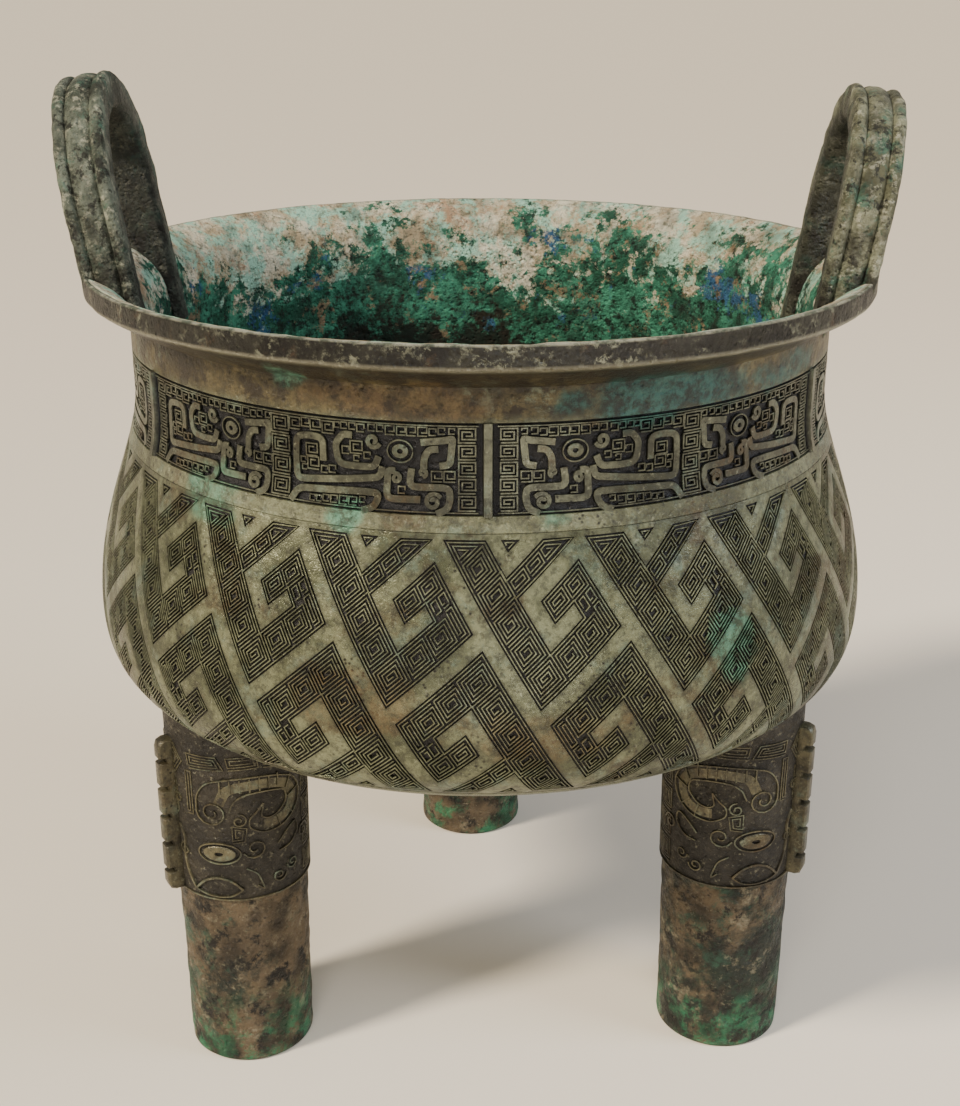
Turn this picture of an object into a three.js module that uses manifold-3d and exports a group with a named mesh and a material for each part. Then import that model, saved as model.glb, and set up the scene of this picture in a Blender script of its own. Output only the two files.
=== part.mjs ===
// Bronze ding: a round-bellied bowl with two upright handles and three column legs, cast as one piece.
// Millimetres, +Z up. The origin lies on the bowl's axis, in the plane of the feet.
// Azimuth 0 is +X. The legs stand at 90, 210 and 330 degrees, the handles near 0 and 180 degrees.

import * as THREE from 'three';
import { mergeGeometries, mergeVertices } from 'three/addons/utils/BufferGeometryUtils.js';
import { TessellateModifier } from 'three/addons/modifiers/TessellateModifier.js';
import Module from 'manifold-3d';

const TURN = 2 * Math.PI;
const radians = THREE.MathUtils.degToRad;

// Bowl
const RIM_RADIUS = 130;
const RIM_HEIGHT = 270.5;
const RIM_FLAT = 2.5; // width of the flat top edge of the rim
const LIP_FACE = 7; // height of the lip's outer face
const LIP_DROP = 8; // how far the underside of the lip slopes down to the neck
const FLARE_DROP = 22; // depth of the flared mouth
const WALL = 4.5;
const NECK_RADIUS = 116;
const SHOULDER_HEIGHT = 232; // the straight neck begins to swell here
const BELLY_RADIUS = 132.5;
const BELLY_HEIGHT = 158;
const KEEL_RADIUS = 99; // the belly's lower turn meets the shallow base here
const KEEL_HEIGHT = 124;
const BASE_HEIGHT = 115; // underside of the bowl on the axis
const OUTER_SEGMENTS = 36;
const INNER_SEGMENTS = 32;

// Roundness of the wall's bends, as shares of the height or width of each bend
const SHOULDER_EASE = 0.27;
const BELLY_EASE_UP = 0.43;
const BELLY_EASE_DOWN = 0.53;
const KEEL_EASE_UP = 0.26;
const KEEL_EASE_OUT = 0.8;
const BASE_EASE = 0.2;
const BASE_FLAT = 0.4;
const FLARE_EASE = { out: 0.35, up: 0.75 };
const FLARE_STEPS = 3;

// Frieze of dragons around the neck, by distance down the wall from the underside of the lip
const FRIEZE_START = 10;
const FRIEZE_WIDTH = 26;
const FRIEZE_DEPTH = 0.8; // how far the ground lies below the figures
const FRIEZE_SIDES = 3; // one panel for each space between two legs
const FRIEZE_TURN = -1.4; // degrees from azimuth 270 to the middle of the first panel
const DRAGON_LENGTH = 48;
const DRAGON_GAP = 7; // ground between two dragons of a half panel
const STROKE = 3; // width of a dragon's limbs
const NECK_FLANGE_WIDTH = 3.2;
const NECK_FLANGE_PROUD = 1.5;

// Belt of interlocking hooks on the belly, by distance down the wall from the underside of the lip
const BELT_START = 41;
const BELT_WIDTH = 82.5;
const BELT_REPEATS = 19;
const BELT_PROUD = 0.4; // the plain bands stand this far above the wall
const FIELD_DEPTH = 0.9; // the spiral-filled fields lie this far below the bands
const BELT_LEAN = 1.1; // repeats by which the steep bands move sideways from top to bottom
const BELT_RISE = 0.315; // share of the belt by which the shallow bands climb over one repeat
const BELT_EDGE = 1; // plain edge between the fields and the ends of the belt
const BELT_TURN = -7.8; // degrees from azimuth 270 to the left side of a hook

// Legs
const LEG_CIRCLE = 98; // from the bowl's axis to a leg's axis
const LEG_ANGLES = [90, 210, 330];
const FOOT_RADIUS = 22;
const LEG_TOP_RADIUS = 23.2;
const FOOT_EDGE = 1.5;
const LEG_SEGMENTS = 14;
const LEG_ROOT = 0.5; // share of the belly's lower turn that a leg reaches up into
const MASK_BOTTOM = 67; // height of the line that closes the mask
const MASK_TOP = 122;
const MASK_STEP = 0.5; // the masked part stands this far above the plain shaft
const MASK_PROUD = 1.6; // the mask's features stand this far above the plain shaft
const FLANGE_TOP = 124;
const FLANGE_BOTTOM = 67;
const FLANGE_PROUD = 5;
const FLANGE_WIDTH = 5;
const FLANGE_CORNER = 3;
const FLANGE_NOTCHES = 5;
const NOTCH_HEIGHT = 1.6;
const NOTCH_DEPTH = 2.5;

// Handles
const HANDLES = [{ azimuth: -7.7, rise: 55.5 }, { azimuth: 179.3, rise: 59 }]; // rise from the rim to the top
const HANDLE_SPAN = 66; // between the limbs' centre lines
const HANDLE_LEAN = 9; // degrees outward
const HANDLE_INSET = 4.6; // from the rim's edge to a handle's outer face
const HANDLE_DEPTH = 17; // limb, towards the bowl's axis
const HANDLE_THICKNESS = 12.5; // limb, along the rim
const RIB_DEPTH = 2.2; // depth of the two grooves that part the three ribs
const RIB_SHARE = 0.6; // flat top of a rib, as a share of the ribs' spacing
const HANDLE_ARCH_STEPS = 8;

// Seats of the relief in the casting
const GROOVE_WIDTH = 0.7; // the groove along either end of the belt
const GROOVE_DEPTH = 1;
const SEAT = 3.5; // depth of the relief's roots
const FACET = 30; // longest facet edge around the belt
const FACET_STRETCH = 1.7; // down the wall, a facet may be this much longer
const FACET_PASSES = 12;
const SEAT_STEP = 20; // longest step of the wall's profile behind the belt
const CAVITY_STEP = 22;
const BASE_STEP = 30;
const SNAP = 1 / 64; // grid of the unrolled outlines

const wasm = await Module();
wasm.setup();

const v2 = (x, y) => new THREE.Vector2(x, y);

// Solids

function solid(geometry) {
  const bare = new THREE.BufferGeometry();
  bare.setAttribute('position', geometry.getAttribute('position'));
  bare.setIndex(geometry.getIndex());
  const merged = mergeVertices(bare, 1e-4);
  return new wasm.Manifold(new wasm.Mesh({
    numProp: 3,
    vertProperties: merged.getAttribute('position').array,
    triVerts: new Uint32Array(merged.getIndex().array),
  }));
}

function lathe(points, segments) {
  const geometry = new THREE.LatheGeometry(points, segments);
  geometry.rotateX(Math.PI / 2);
  return solid(geometry);
}

function union(solids) {
  return solids.reduce((whole, part) => whole.add(part));
}

// The outer wall, from the underside of the lip down to the axis

const neckTop = RIM_HEIGHT - LIP_FACE - LIP_DROP;

function buildWall() {
  const swell = SHOULDER_HEIGHT - BELLY_HEIGHT;
  const drop = BELLY_HEIGHT - KEEL_HEIGHT;
  const wall = new THREE.CurvePath();
  wall.add(new THREE.LineCurve(v2(NECK_RADIUS, neckTop), v2(NECK_RADIUS, SHOULDER_HEIGHT)));
  wall.add(new THREE.CubicBezierCurve(
    v2(NECK_RADIUS, SHOULDER_HEIGHT),
    v2(NECK_RADIUS, SHOULDER_HEIGHT - SHOULDER_EASE * swell),
    v2(BELLY_RADIUS, BELLY_HEIGHT + BELLY_EASE_UP * swell),
    v2(BELLY_RADIUS, BELLY_HEIGHT),
  ));
  const keelOut = KEEL_EASE_OUT * (BELLY_RADIUS - KEEL_RADIUS);
  const keelUp = KEEL_EASE_UP * drop;
  const baseIn = BASE_EASE * KEEL_RADIUS;
  wall.add(new THREE.CubicBezierCurve(
    v2(BELLY_RADIUS, BELLY_HEIGHT),
    v2(BELLY_RADIUS, BELLY_HEIGHT - BELLY_EASE_DOWN * drop),
    v2(KEEL_RADIUS + keelOut, KEEL_HEIGHT + keelUp),
    v2(KEEL_RADIUS, KEEL_HEIGHT),
  ));
  wall.add(new THREE.CubicBezierCurve(
    v2(KEEL_RADIUS, KEEL_HEIGHT),
    v2(KEEL_RADIUS - baseIn, KEEL_HEIGHT - keelUp * baseIn / keelOut),
    v2(BASE_FLAT * KEEL_RADIUS, BASE_HEIGHT),
    v2(0, BASE_HEIGHT),
  ));
  return wall;
}

const wall = buildWall();
const wallLength = wall.getLength();

// Point on the wall at a distance down from the lip, lifted along the outward normal
function wallPoint(distance, lift = 0) {
  const share = THREE.MathUtils.clamp(distance / wallLength, 0, 1);
  const point = wall.getPointAt(share);
  const tangent = wall.getTangentAt(share);
  return v2(Math.max(point.x - tangent.y * lift, 0), point.y + tangent.x * lift);
}

function wallStations(from, to, step, lift) {
  const count = Math.max(1, Math.ceil((to - from) / step));
  return Array.from({ length: count + 1 }, (_, i) => wallPoint(from + (to - from) * i / count, lift));
}

// Bowl, still filled; the frieze and the belt lie in shallow recesses

const friezeEnd = FRIEZE_START + FRIEZE_WIDTH;
const beltEnd = BELT_START + BELT_WIDTH;

function filledBowl() {
  const profile = [
    v2(0, RIM_HEIGHT),
    v2(RIM_RADIUS, RIM_HEIGHT),
    v2(RIM_RADIUS, RIM_HEIGHT - LIP_FACE),
    wallPoint(0),
    wallPoint(FRIEZE_START),
    wallPoint(FRIEZE_START, -FRIEZE_DEPTH),
    wallPoint(friezeEnd, -FRIEZE_DEPTH),
    wallPoint(friezeEnd),
    wallPoint(BELT_START - GROOVE_WIDTH),
    wallPoint(BELT_START - GROOVE_WIDTH, -GROOVE_DEPTH),
    wallPoint(BELT_START + BELT_EDGE, -GROOVE_DEPTH),
    ...wallStations(BELT_START + BELT_EDGE, beltEnd - BELT_EDGE, SEAT_STEP, -SEAT),
    wallPoint(beltEnd - BELT_EDGE, -GROOVE_DEPTH),
    wallPoint(beltEnd + GROOVE_WIDTH, -GROOVE_DEPTH),
    wallPoint(beltEnd + GROOVE_WIDTH),
    ...wallStations(beltEnd + GROOVE_WIDTH, wallLength, BASE_STEP, 0).slice(1, -1),
    v2(0, BASE_HEIGHT),
  ];
  return lathe(profile.reverse(), OUTER_SEGMENTS);
}

// Inner side of the flared mouth, from the rim down to the throat
const mouth = v2(RIM_RADIUS - RIM_FLAT, RIM_HEIGHT);
const throat = v2(NECK_RADIUS - WALL, RIM_HEIGHT - FLARE_DROP);
const flareBend = v2(
  THREE.MathUtils.lerp(throat.x, NECK_RADIUS, FLARE_EASE.out),
  THREE.MathUtils.lerp(throat.y, mouth.y, FLARE_EASE.up),
);
const flare = new THREE.QuadraticBezierCurve(mouth, flareBend, throat).getPoints(FLARE_STEPS);

function cavity() {
  const inner = wallStations(neckTop - throat.y, wallLength, CAVITY_STEP, -WALL);
  const profile = [
    v2(0, RIM_HEIGHT + LIP_FACE),
    v2(mouth.x, RIM_HEIGHT + LIP_FACE),
    ...flare,
    ...inner.slice(1, -1),
    v2(0, BASE_HEIGHT + WALL),
  ];
  return lathe(profile.reverse(), INNER_SEGMENTS);
}

// Relief: outlines drawn on an unrolled surface, then wrapped onto the wall or a leg.
// Flat x runs to the right seen from outside, flat y runs up, flat z is the lift above the surface.

function oriented(points, clockwise) {
  return THREE.ShapeUtils.isClockWise(points) === clockwise ? points : points.slice().reverse();
}

function face(outline, holes, lift, upward) {
  const points = [outline, ...holes].flat();
  const triangles = THREE.ShapeUtils.triangulateShape(outline, holes);
  const corners = triangles.flatMap((corner) => (upward ? corner : corner.toReversed()));
  return corners.flatMap((i) => [points[i].x, points[i].y, lift]);
}

function skirt(points, top, bottom, keep = () => true) {
  return points.flatMap((a, i) => {
    const b = points[(i + 1) % points.length];
    if (!keep(a, b)) return [];
    const [aTop, aBottom, bTop, bBottom] = [a, b].flatMap(({ x, y }) => [[x, y, top], [x, y, bottom]]);
    return [aTop, aBottom, bBottom, aTop, bBottom, bTop].flat();
  });
}

function flatGeometry(...parts) {
  const geometry = new THREE.BufferGeometry();
  geometry.setAttribute('position', new THREE.Float32BufferAttribute(parts.flat(), 3));
  return geometry;
}

// A separate raised figure, to be added to the wall behind it
function plate(outline, top, place) {
  const ring = oriented(outline, false);
  const flat = flatGeometry(face(ring, [], top, true), face(ring, [], -SEAT, false), skirt(ring, top, -SEAT));
  return solid(wrap(flat, place));
}

// Outline of a stroke of constant width along a bent line, with square ends and mitred bends
function stroke(line, width) {
  const side = (sign) => line.map((point, i) => {
    const before = point.clone().sub(line[Math.max(i - 1, 0)]).normalize();
    const after = line[Math.min(i + 1, line.length - 1)].clone().sub(point).normalize();
    const along = before.add(after).normalize();
    const turn = along.dot(i ? point.clone().sub(line[i - 1]).normalize() : after);
    return point.clone().add(v2(-along.y, along.x).multiplyScalar(sign * width / 2 / turn));
  });
  return [...side(1), ...side(-1).reverse()];
}

function wrap(geometry, place) {
  const position = geometry.getAttribute('position');
  for (let i = 0; i < position.count; i += 1) {
    const point = place(position.getX(i), position.getY(i), position.getZ(i));
    position.setXYZ(i, point.x, point.y, point.z);
  }
  return geometry;
}

// Flat places are rounded to binary fractions, so that neighbouring repeats meet exactly
const snap = (value) => Math.round(value / SNAP) * SNAP;

// Width of one repeat on the unrolled surface
const repeatPitch = (radius, repeats) => 2 * snap(Math.PI * radius / repeats);

// A band all around the wall, from a flat cell with sunk fields, which is repeated.
// The right side of the cell is given from top to bottom, and the left side lies one pitch away.
function reliefBand({ right, pitch, repeats, turn, ground, sunk, fields }) {
  const snapped = ({ x, y }) => v2(snap(x), snap(y));
  const side = right.map(snapped);
  const cell = oriented([...side, ...side.map(({ x, y }) => v2(x - pitch, y)).reverse()], false);
  const holes = fields.map((field) => oriented(field.map(snapped), true));
  const flat = flatGeometry(
    face(cell, holes, ground, true),
    face(cell, [], -2 * SEAT, false),
    skirt(cell, ground, -2 * SEAT, (a, b) => a.y === b.y),
    ...holes.flatMap((hole) => [face(oriented(hole, false), [], sunk, true), skirt(hole, ground, sunk)]),
  );
  flat.scale(1, 1 / FACET_STRETCH, 1);
  const fine = new TessellateModifier(FACET, FACET_PASSES).modify(flat);
  fine.scale(1, FACET_STRETCH, 1);
  const angle = TURN / repeats / pitch;
  const copies = Array.from({ length: repeats }, (_, i) => (
    wrap(fine.clone(), (x, y, lift) => onWall(turn + x * angle + TURN * i / repeats, y, lift))
  ));
  return solid(mergeGeometries(copies));
}

function onWall(angle, y, lift) {
  const point = wallPoint(-y, lift);
  const azimuth = angle - TURN / 4;
  return new THREE.Vector3(point.x * Math.cos(azimuth), point.x * Math.sin(azimuth), point.y);
}

// Belt of interlocking hooks. A repeat holds a field that hangs from the top edge, and the same field
// turned half a turn, which stands on the bottom edge. Columns are measured across the steep bands,
// rows up the steep bands from the tip of the hanging field.

function shares(widths) {
  const total = widths.reduce((sum, width) => sum + width);
  let reached = 0;
  return widths.map((width) => (reached += width / total));
}

const [stripSide, hookSlot, hookEnd, fieldSide] = shares([30, 13.5, 20.8, 22.4, 13.3]);
const ROW_SHARES = [11.3, 4.8, 8.2, 5.4, 7.3]; // foot, slot, hook, band, branch
const BAND_ROW = 0.054;
const BRANCH_END = 0.955; // column where the branch's lower side reaches the belt's edge
const SEAM_SWING = 0.0425; // lean of a repeat's seam against the steep bands, in repeats
const STAGGER = 1.2; // a field's two ends by the belt's edge lie at slightly different depths
const tipDepth = (1 + BELT_RISE * fieldSide - BAND_ROW) / 2;

function fieldOutline() {
  const edge = BELT_EDGE / BELT_WIDTH;
  const rows = shares(ROW_SHARES);
  const scale = (tipDepth - edge - BELT_RISE * BRANCH_END) / rows[3];
  const [foot, slot, hook, band, branch] = rows.map((row) => row * scale);
  const topAt = (column) => [column, tipDepth - edge - BELT_RISE * column];
  const edgeAt = (row) => [(tipDepth - STAGGER * edge - row) / BELT_RISE, row];
  return [
    [0, 0], [fieldSide, 0], [fieldSide, hook], [hookSlot, hook], [hookSlot, slot], [hookEnd, slot],
    [hookEnd, foot], [stripSide, foot], [stripSide, band], edgeAt(band), edgeAt(branch),
    [stripSide, branch], topAt(stripSide), topAt(0),
  ];
}

function belt() {
  const pitch = repeatPitch(BELLY_RADIUS, BELT_REPEATS);
  const across = (column, depth) => (
    v2(pitch * (column + BELT_LEAN * depth), -BELT_START - BELT_WIDTH * depth)
  );
  const place = ([column, row]) => across(column, tipDepth - row - BELT_RISE * column);
  const turned = ([column, row]) => [fieldSide - column, -BAND_ROW - row];
  const hanging = fieldOutline();
  const seam = (1 + fieldSide) / 2;
  return reliefBand({
    right: [across(seam + SEAM_SWING, 0), across(seam - SEAM_SWING, 1)],
    pitch,
    repeats: BELT_REPEATS,
    turn: radians(BELT_TURN),
    ground: BELT_PROUD,
    sunk: BELT_PROUD - FIELD_DEPTH,
    fields: [hanging.map(place), hanging.map(turned).map(place)],
  });
}

// Frieze: in each panel a low flange in the middle with two dragons on either side, facing it.
// A dragon is drawn in shares of its length and of the frieze's width, snout at 0, top at 0.

const DRAGON_STROKES = [
  [[0.39, 0.42], [0.41, 0.66], [0.95, 0.69], [0.945, 0.27], [0.77, 0.26]],
  [[0.25, 0.47], [0.263, 0.75], [0.04, 0.74], [0.046, 0.92]],
];
const DRAGON_EYE = { x: 0.313, y: 0.3, length: 0.07, height: 0.13, sides: 5 };

function dragon(side, offset) {
  const place = ([x, y]) => v2(side * (offset + DRAGON_LENGTH * x), -FRIEZE_START - FRIEZE_WIDTH * y);
  const eye = Array.from({ length: DRAGON_EYE.sides }, (_, i) => {
    const angle = TURN * (i + 0.5) / DRAGON_EYE.sides;
    return place([
      DRAGON_EYE.x + DRAGON_EYE.length * Math.cos(angle),
      DRAGON_EYE.y + DRAGON_EYE.height * Math.sin(angle),
    ]);
  });
  return [...DRAGON_STROKES.map((line) => stroke(line.map(place), STROKE)), eye];
}

function frieze() {
  const half = NECK_FLANGE_WIDTH / 2;
  const middle = [
    v2(-half, -FRIEZE_START),
    v2(half, -FRIEZE_START),
    v2(half, -friezeEnd),
    v2(-half, -friezeEnd),
  ];
  const panel = TURN * NECK_RADIUS / FRIEZE_SIDES;
  const start = panel / 4 - DRAGON_LENGTH - DRAGON_GAP / 2;
  const turn = radians(FRIEZE_TURN);
  const figures = [1, -1].flatMap((side) => [
    ...dragon(side, start),
    ...dragon(side, start + DRAGON_LENGTH + DRAGON_GAP),
  ]);
  return Array.from({ length: FRIEZE_SIDES }, (_, i) => {
    const place = (x, y, lift) => onWall(turn + x / NECK_RADIUS + TURN * i / FRIEZE_SIDES, y, lift);
    return [...figures.map((outline) => plate(outline, 0, place)), plate(middle, NECK_FLANGE_PROUD, place)];
  }).flat();
}

// Legs: a round column with a mask on its upper half and a notched flange down its outer side

const legTop = KEEL_HEIGHT + LEG_ROOT * (BELLY_HEIGHT - KEEL_HEIGHT);

function legRadius(height) {
  return THREE.MathUtils.lerp(FOOT_RADIUS, LEG_TOP_RADIUS, height / legTop);
}

function column() {
  const profile = [
    v2(0, 0),
    v2(FOOT_RADIUS - FOOT_EDGE, 0),
    v2(FOOT_RADIUS, FOOT_EDGE),
    v2(legRadius(MASK_BOTTOM), MASK_BOTTOM),
    v2(legRadius(MASK_BOTTOM) + MASK_STEP, MASK_BOTTOM),
    v2(LEG_TOP_RADIUS + MASK_STEP, legTop),
    v2(0, legTop),
  ];
  return lathe(profile, LEG_SEGMENTS);
}

// The mask is drawn in degrees around the leg from the flange and in shares of its height from below
const HORN = [[40, 0.5], [22, 0.58], [30, 0.84], [65, 0.9], [108, 0.78], [98, 0.52]];
const EYE = { angle: 37, height: 0.31, halfAngle: 18, halfHeight: 0.075, sides: 6 };
const HORN_WIDTH = 4.2;

function mask(side) {
  const reach = MASK_TOP - MASK_BOTTOM;
  const flat = ([angle, share]) => v2(side * radians(angle) * FOOT_RADIUS, MASK_BOTTOM + reach * share);
  const eye = Array.from({ length: EYE.sides }, (_, i) => {
    const turn = TURN * (i + 0.5) / EYE.sides;
    return flat([EYE.angle + EYE.halfAngle * Math.cos(turn), EYE.height + EYE.halfHeight * Math.sin(turn)]);
  });
  const place = (x, y, lift) => {
    const radius = legRadius(y) + lift;
    return new THREE.Vector3(radius * Math.cos(x / FOOT_RADIUS), radius * Math.sin(x / FOOT_RADIUS), y);
  };
  return [stroke(HORN.map(flat), HORN_WIDTH), eye].map((outline) => plate(outline, MASK_PROUD, place));
}

function flange() {
  const root = FOOT_RADIUS - SEAT;
  const edge = LEG_TOP_RADIUS + FLANGE_PROUD;
  const corner = FLANGE_CORNER;
  const shape = new THREE.Shape();
  shape.moveTo(root, FLANGE_BOTTOM);
  shape.lineTo(edge - corner, FLANGE_BOTTOM);
  shape.absarc(edge - corner, FLANGE_BOTTOM + corner, corner, -Math.PI / 2, 0);
  const pitch = (FLANGE_TOP - FLANGE_BOTTOM) / (FLANGE_NOTCHES + 0.5);
  for (let i = 0; i < FLANGE_NOTCHES; i += 1) {
    const height = FLANGE_BOTTOM + pitch * (i + 0.75);
    shape.lineTo(edge, height - NOTCH_HEIGHT / 2);
    shape.lineTo(edge - NOTCH_DEPTH, height - NOTCH_HEIGHT / 2);
    shape.lineTo(edge - NOTCH_DEPTH, height + NOTCH_HEIGHT / 2);
    shape.lineTo(edge, height + NOTCH_HEIGHT / 2);
  }
  shape.lineTo(edge, FLANGE_TOP - corner);
  shape.absarc(edge - corner, FLANGE_TOP - corner, corner, 0, Math.PI / 2);
  shape.lineTo(root, FLANGE_TOP);
  const geometry = new THREE.ExtrudeGeometry(shape, {
    depth: FLANGE_WIDTH, bevelEnabled: false, curveSegments: 2,
  });
  geometry.translate(0, 0, -FLANGE_WIDTH / 2);
  geometry.rotateX(Math.PI / 2);
  return solid(geometry);
}

function leg(azimuth) {
  return union([column(), flange(), ...mask(1), ...mask(-1)])
    .translate([LEG_CIRCLE, 0, 0])
    .rotate([0, 0, azimuth]);
}

// Handles: an arch that leans outward, with three ribs along its outer side

function limbSection() {
  const depth = HANDLE_DEPTH / 2;
  const inner = -HANDLE_THICKNESS / 2;
  const outer = HANDLE_THICKNESS / 2;
  const rib = HANDLE_DEPTH / 3;
  const groove = outer - RIB_DEPTH;
  const ribs = [-1, 0, 1].flatMap((i) => [
    v2(outer, (i - RIB_SHARE / 2) * rib),
    v2(outer, (i + RIB_SHARE / 2) * rib),
    v2(groove, (i + 0.5) * rib),
  ]);
  return [v2(inner, -depth), v2(groove, -depth), ...ribs, v2(inner, depth)];
}

// Rings of the arch: each is the section's outward direction and centre, in the plane of the handle
function archStations(rise) {
  const radius = HANDLE_SPAN / 2;
  const spring = rise - HANDLE_THICKNESS / 2 - radius;
  const below = LIP_FACE + LIP_DROP + FLARE_DROP;
  const arch = Array.from({ length: HANDLE_ARCH_STEPS + 1 }, (_, i) => {
    const angle = Math.PI * i / HANDLE_ARCH_STEPS;
    return { angle, y: radius * Math.cos(angle), z: spring + radius * Math.sin(angle) };
  });
  return [{ angle: 0, y: radius, z: -below }, ...arch, { angle: Math.PI, y: -radius, z: -below }];
}

function handle({ azimuth, rise }) {
  const section = limbSection();
  const rings = archStations(rise).map(({ angle, y, z }) => section.map(({ x: out, y: radial }) => [
    radial, y + out * Math.cos(angle), z + out * Math.sin(angle),
  ]));
  const count = section.length;
  const index = [];
  for (let i = 0; i + 1 < rings.length; i += 1) {
    for (let j = 0; j < count; j += 1) {
      const a = i * count + j;
      const b = i * count + (j + 1) % count;
      index.push(a, a + count, b, b, a + count, b + count);
    }
  }
  const caps = THREE.ShapeUtils.triangulateShape(section, []);
  const last = (rings.length - 1) * count;
  caps.forEach(([a, b, c]) => index.push(a, b, c, last + c, last + b, last + a));
  const geometry = new THREE.BufferGeometry();
  geometry.setAttribute('position', new THREE.Float32BufferAttribute(rings.flat(2), 3));
  geometry.setIndex(index);
  geometry.rotateY(radians(HANDLE_LEAN));
  geometry.translate(RIM_RADIUS - HANDLE_INSET - HANDLE_DEPTH / 2, 0, RIM_HEIGHT);
  return solid(geometry).subtract(belowLip()).rotate([0, 0, azimuth]);
}

// Point halfway through the wall, from a point of the flare's inner side
function midWall({ x, y }) {
  const outside = Math.max(x, NECK_RADIUS);
  const share = (outside - NECK_RADIUS) / (RIM_RADIUS - NECK_RADIUS);
  const underside = neckTop + LIP_DROP * share;
  return v2((x + outside) / 2, (y + Math.min(y, underside)) / 2);
}

// Everything below the middle of the lip and the flare, where a handle's foot ends inside the casting
function belowLip() {
  const reach = 2 * RIM_RADIUS;
  const profile = [
    v2(0, BASE_HEIGHT),
    v2(reach, BASE_HEIGHT),
    v2(reach, RIM_HEIGHT - LIP_FACE / 2),
    v2(RIM_RADIUS, RIM_HEIGHT - LIP_FACE / 2),
    ...flare.slice(1).map(midWall),
    v2(NECK_RADIUS - WALL / 2, RIM_HEIGHT - FLARE_DROP - LIP_FACE),
    v2(0, RIM_HEIGHT - FLARE_DROP - LIP_FACE),
  ];
  return lathe(profile, OUTER_SEGMENTS);
}

function vessel() {
  const legs = LEG_ANGLES.map(leg);
  const shell = union([filledBowl(), belt(), ...frieze(), ...legs]).subtract(cavity());
  return union([shell, ...HANDLES.map(handle)]);
}

const cast = vessel().getMesh();
const geometry = new THREE.BufferGeometry();
geometry.setAttribute('position', new THREE.Float32BufferAttribute(cast.vertProperties, 3));
geometry.setIndex(new THREE.Uint32BufferAttribute(cast.triVerts, 1));
geometry.computeVertexNormals();

const bronze = new THREE.MeshStandardMaterial({ color: 0x5f6650, roughness: 0.62, metalness: 0.55 });
const vesselMesh = new THREE.Mesh(geometry, bronze);
vesselMesh.name = 'ding_vessel';

const ding = new THREE.Group();
ding.add(vesselMesh);

export default ding;
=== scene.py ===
"""Looks of a cast bronze ding: a round-bellied bowl with two ribbed handles and three masked column legs.

Lengths in the classes are millimetres and are turned into metres where a mesh is made. The origin lies on
the bowl's axis in the plane of the feet, +Z is up, and azimuth 0 is +X. Relief is drawn flat, with x to the
right seen from outside, y up and a lift above the surface, and is then laid on the wall or on a leg.
"""

from __future__ import annotations

import logging
import math
from dataclasses import dataclass, field
from enum import Enum
from typing import Callable, Sequence

import bpy
import numpy as np
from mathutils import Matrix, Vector
from mathutils.geometry import delaunay_2d_cdt

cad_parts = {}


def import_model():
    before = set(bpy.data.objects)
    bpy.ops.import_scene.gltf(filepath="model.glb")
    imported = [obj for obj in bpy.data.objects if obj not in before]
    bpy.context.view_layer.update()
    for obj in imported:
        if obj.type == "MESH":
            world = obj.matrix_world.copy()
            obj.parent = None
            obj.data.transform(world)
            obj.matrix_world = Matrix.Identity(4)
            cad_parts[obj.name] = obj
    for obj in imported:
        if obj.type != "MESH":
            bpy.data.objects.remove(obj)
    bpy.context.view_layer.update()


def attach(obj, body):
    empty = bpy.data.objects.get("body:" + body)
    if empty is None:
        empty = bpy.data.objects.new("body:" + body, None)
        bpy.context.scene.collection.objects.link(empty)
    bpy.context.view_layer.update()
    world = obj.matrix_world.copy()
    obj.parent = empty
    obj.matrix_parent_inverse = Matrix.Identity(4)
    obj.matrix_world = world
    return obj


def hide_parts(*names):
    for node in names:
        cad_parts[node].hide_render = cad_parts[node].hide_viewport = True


LOG = logging.getLogger("ding")
METRES = 0.001
TURN = 2 * math.pi
NODE = "ding_vessel"

Array = np.ndarray
Place = Callable[[Array, Array, Array], Array]
Socket = bpy.types.NodeSocket
Blotch = tuple[float, float, float, float]
Range = tuple[float, float]
HASH_FACTORS = (73856093, 19349663, 83492791)
HASH_STIR = 1274126177
HASH_BITS = 0xFFFFFF


# Numbers and noise


def spread(values: Sequence[float]) -> Array:
    """Returns a float array of the values.

    Args:
        values: Numbers or rows of numbers.

    Returns:
        The same numbers as an array of floats.
    """
    return np.asarray(values, float)


def ease(low: float, high: float, values: Array) -> Array:
    """Smooth step: 0 below low, 1 above high, and 3t^2 - 2t^3 in between.

    Args:
        low: Value where the step starts.
        high: Value where the step ends; it may be below low for a falling step.
        values: Numbers to map.

    Returns:
        The steps, from 0 to 1.
    """
    share = np.clip((values - low) / (high - low), 0, 1)
    return share * share * (3 - 2 * share)


def lattice_noise(points: Array, size: float, seed: int) -> Array:
    """Value noise: each lattice corner has a hashed value, and the eight around a point are blended.

    Args:
        points: Rows of x, y, z.
        size: Edge of a lattice cell, in the points' unit.
        seed: Number that picks the pattern.

    Returns:
        One value from 0 to 1 per point.
    """
    scaled = points / size
    base = np.floor(scaled)
    part = scaled - base
    part = part * part * (3 - 2 * part)
    corner = base.astype(np.int64)
    total = np.zeros(len(points))
    for offset in np.ndindex(2, 2, 2):
        at = corner + np.array(offset)
        mixed = np.bitwise_xor.reduce(at * HASH_FACTORS, axis=1) ^ (seed * 7919 + 17)
        mixed = (mixed ^ (mixed >> 13)) * HASH_STIR
        value = ((mixed ^ (mixed >> 16)) & HASH_BITS) / HASH_BITS
        total += value * np.prod(np.where(np.array(offset), part, 1 - part), axis=1)
    return total


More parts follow.
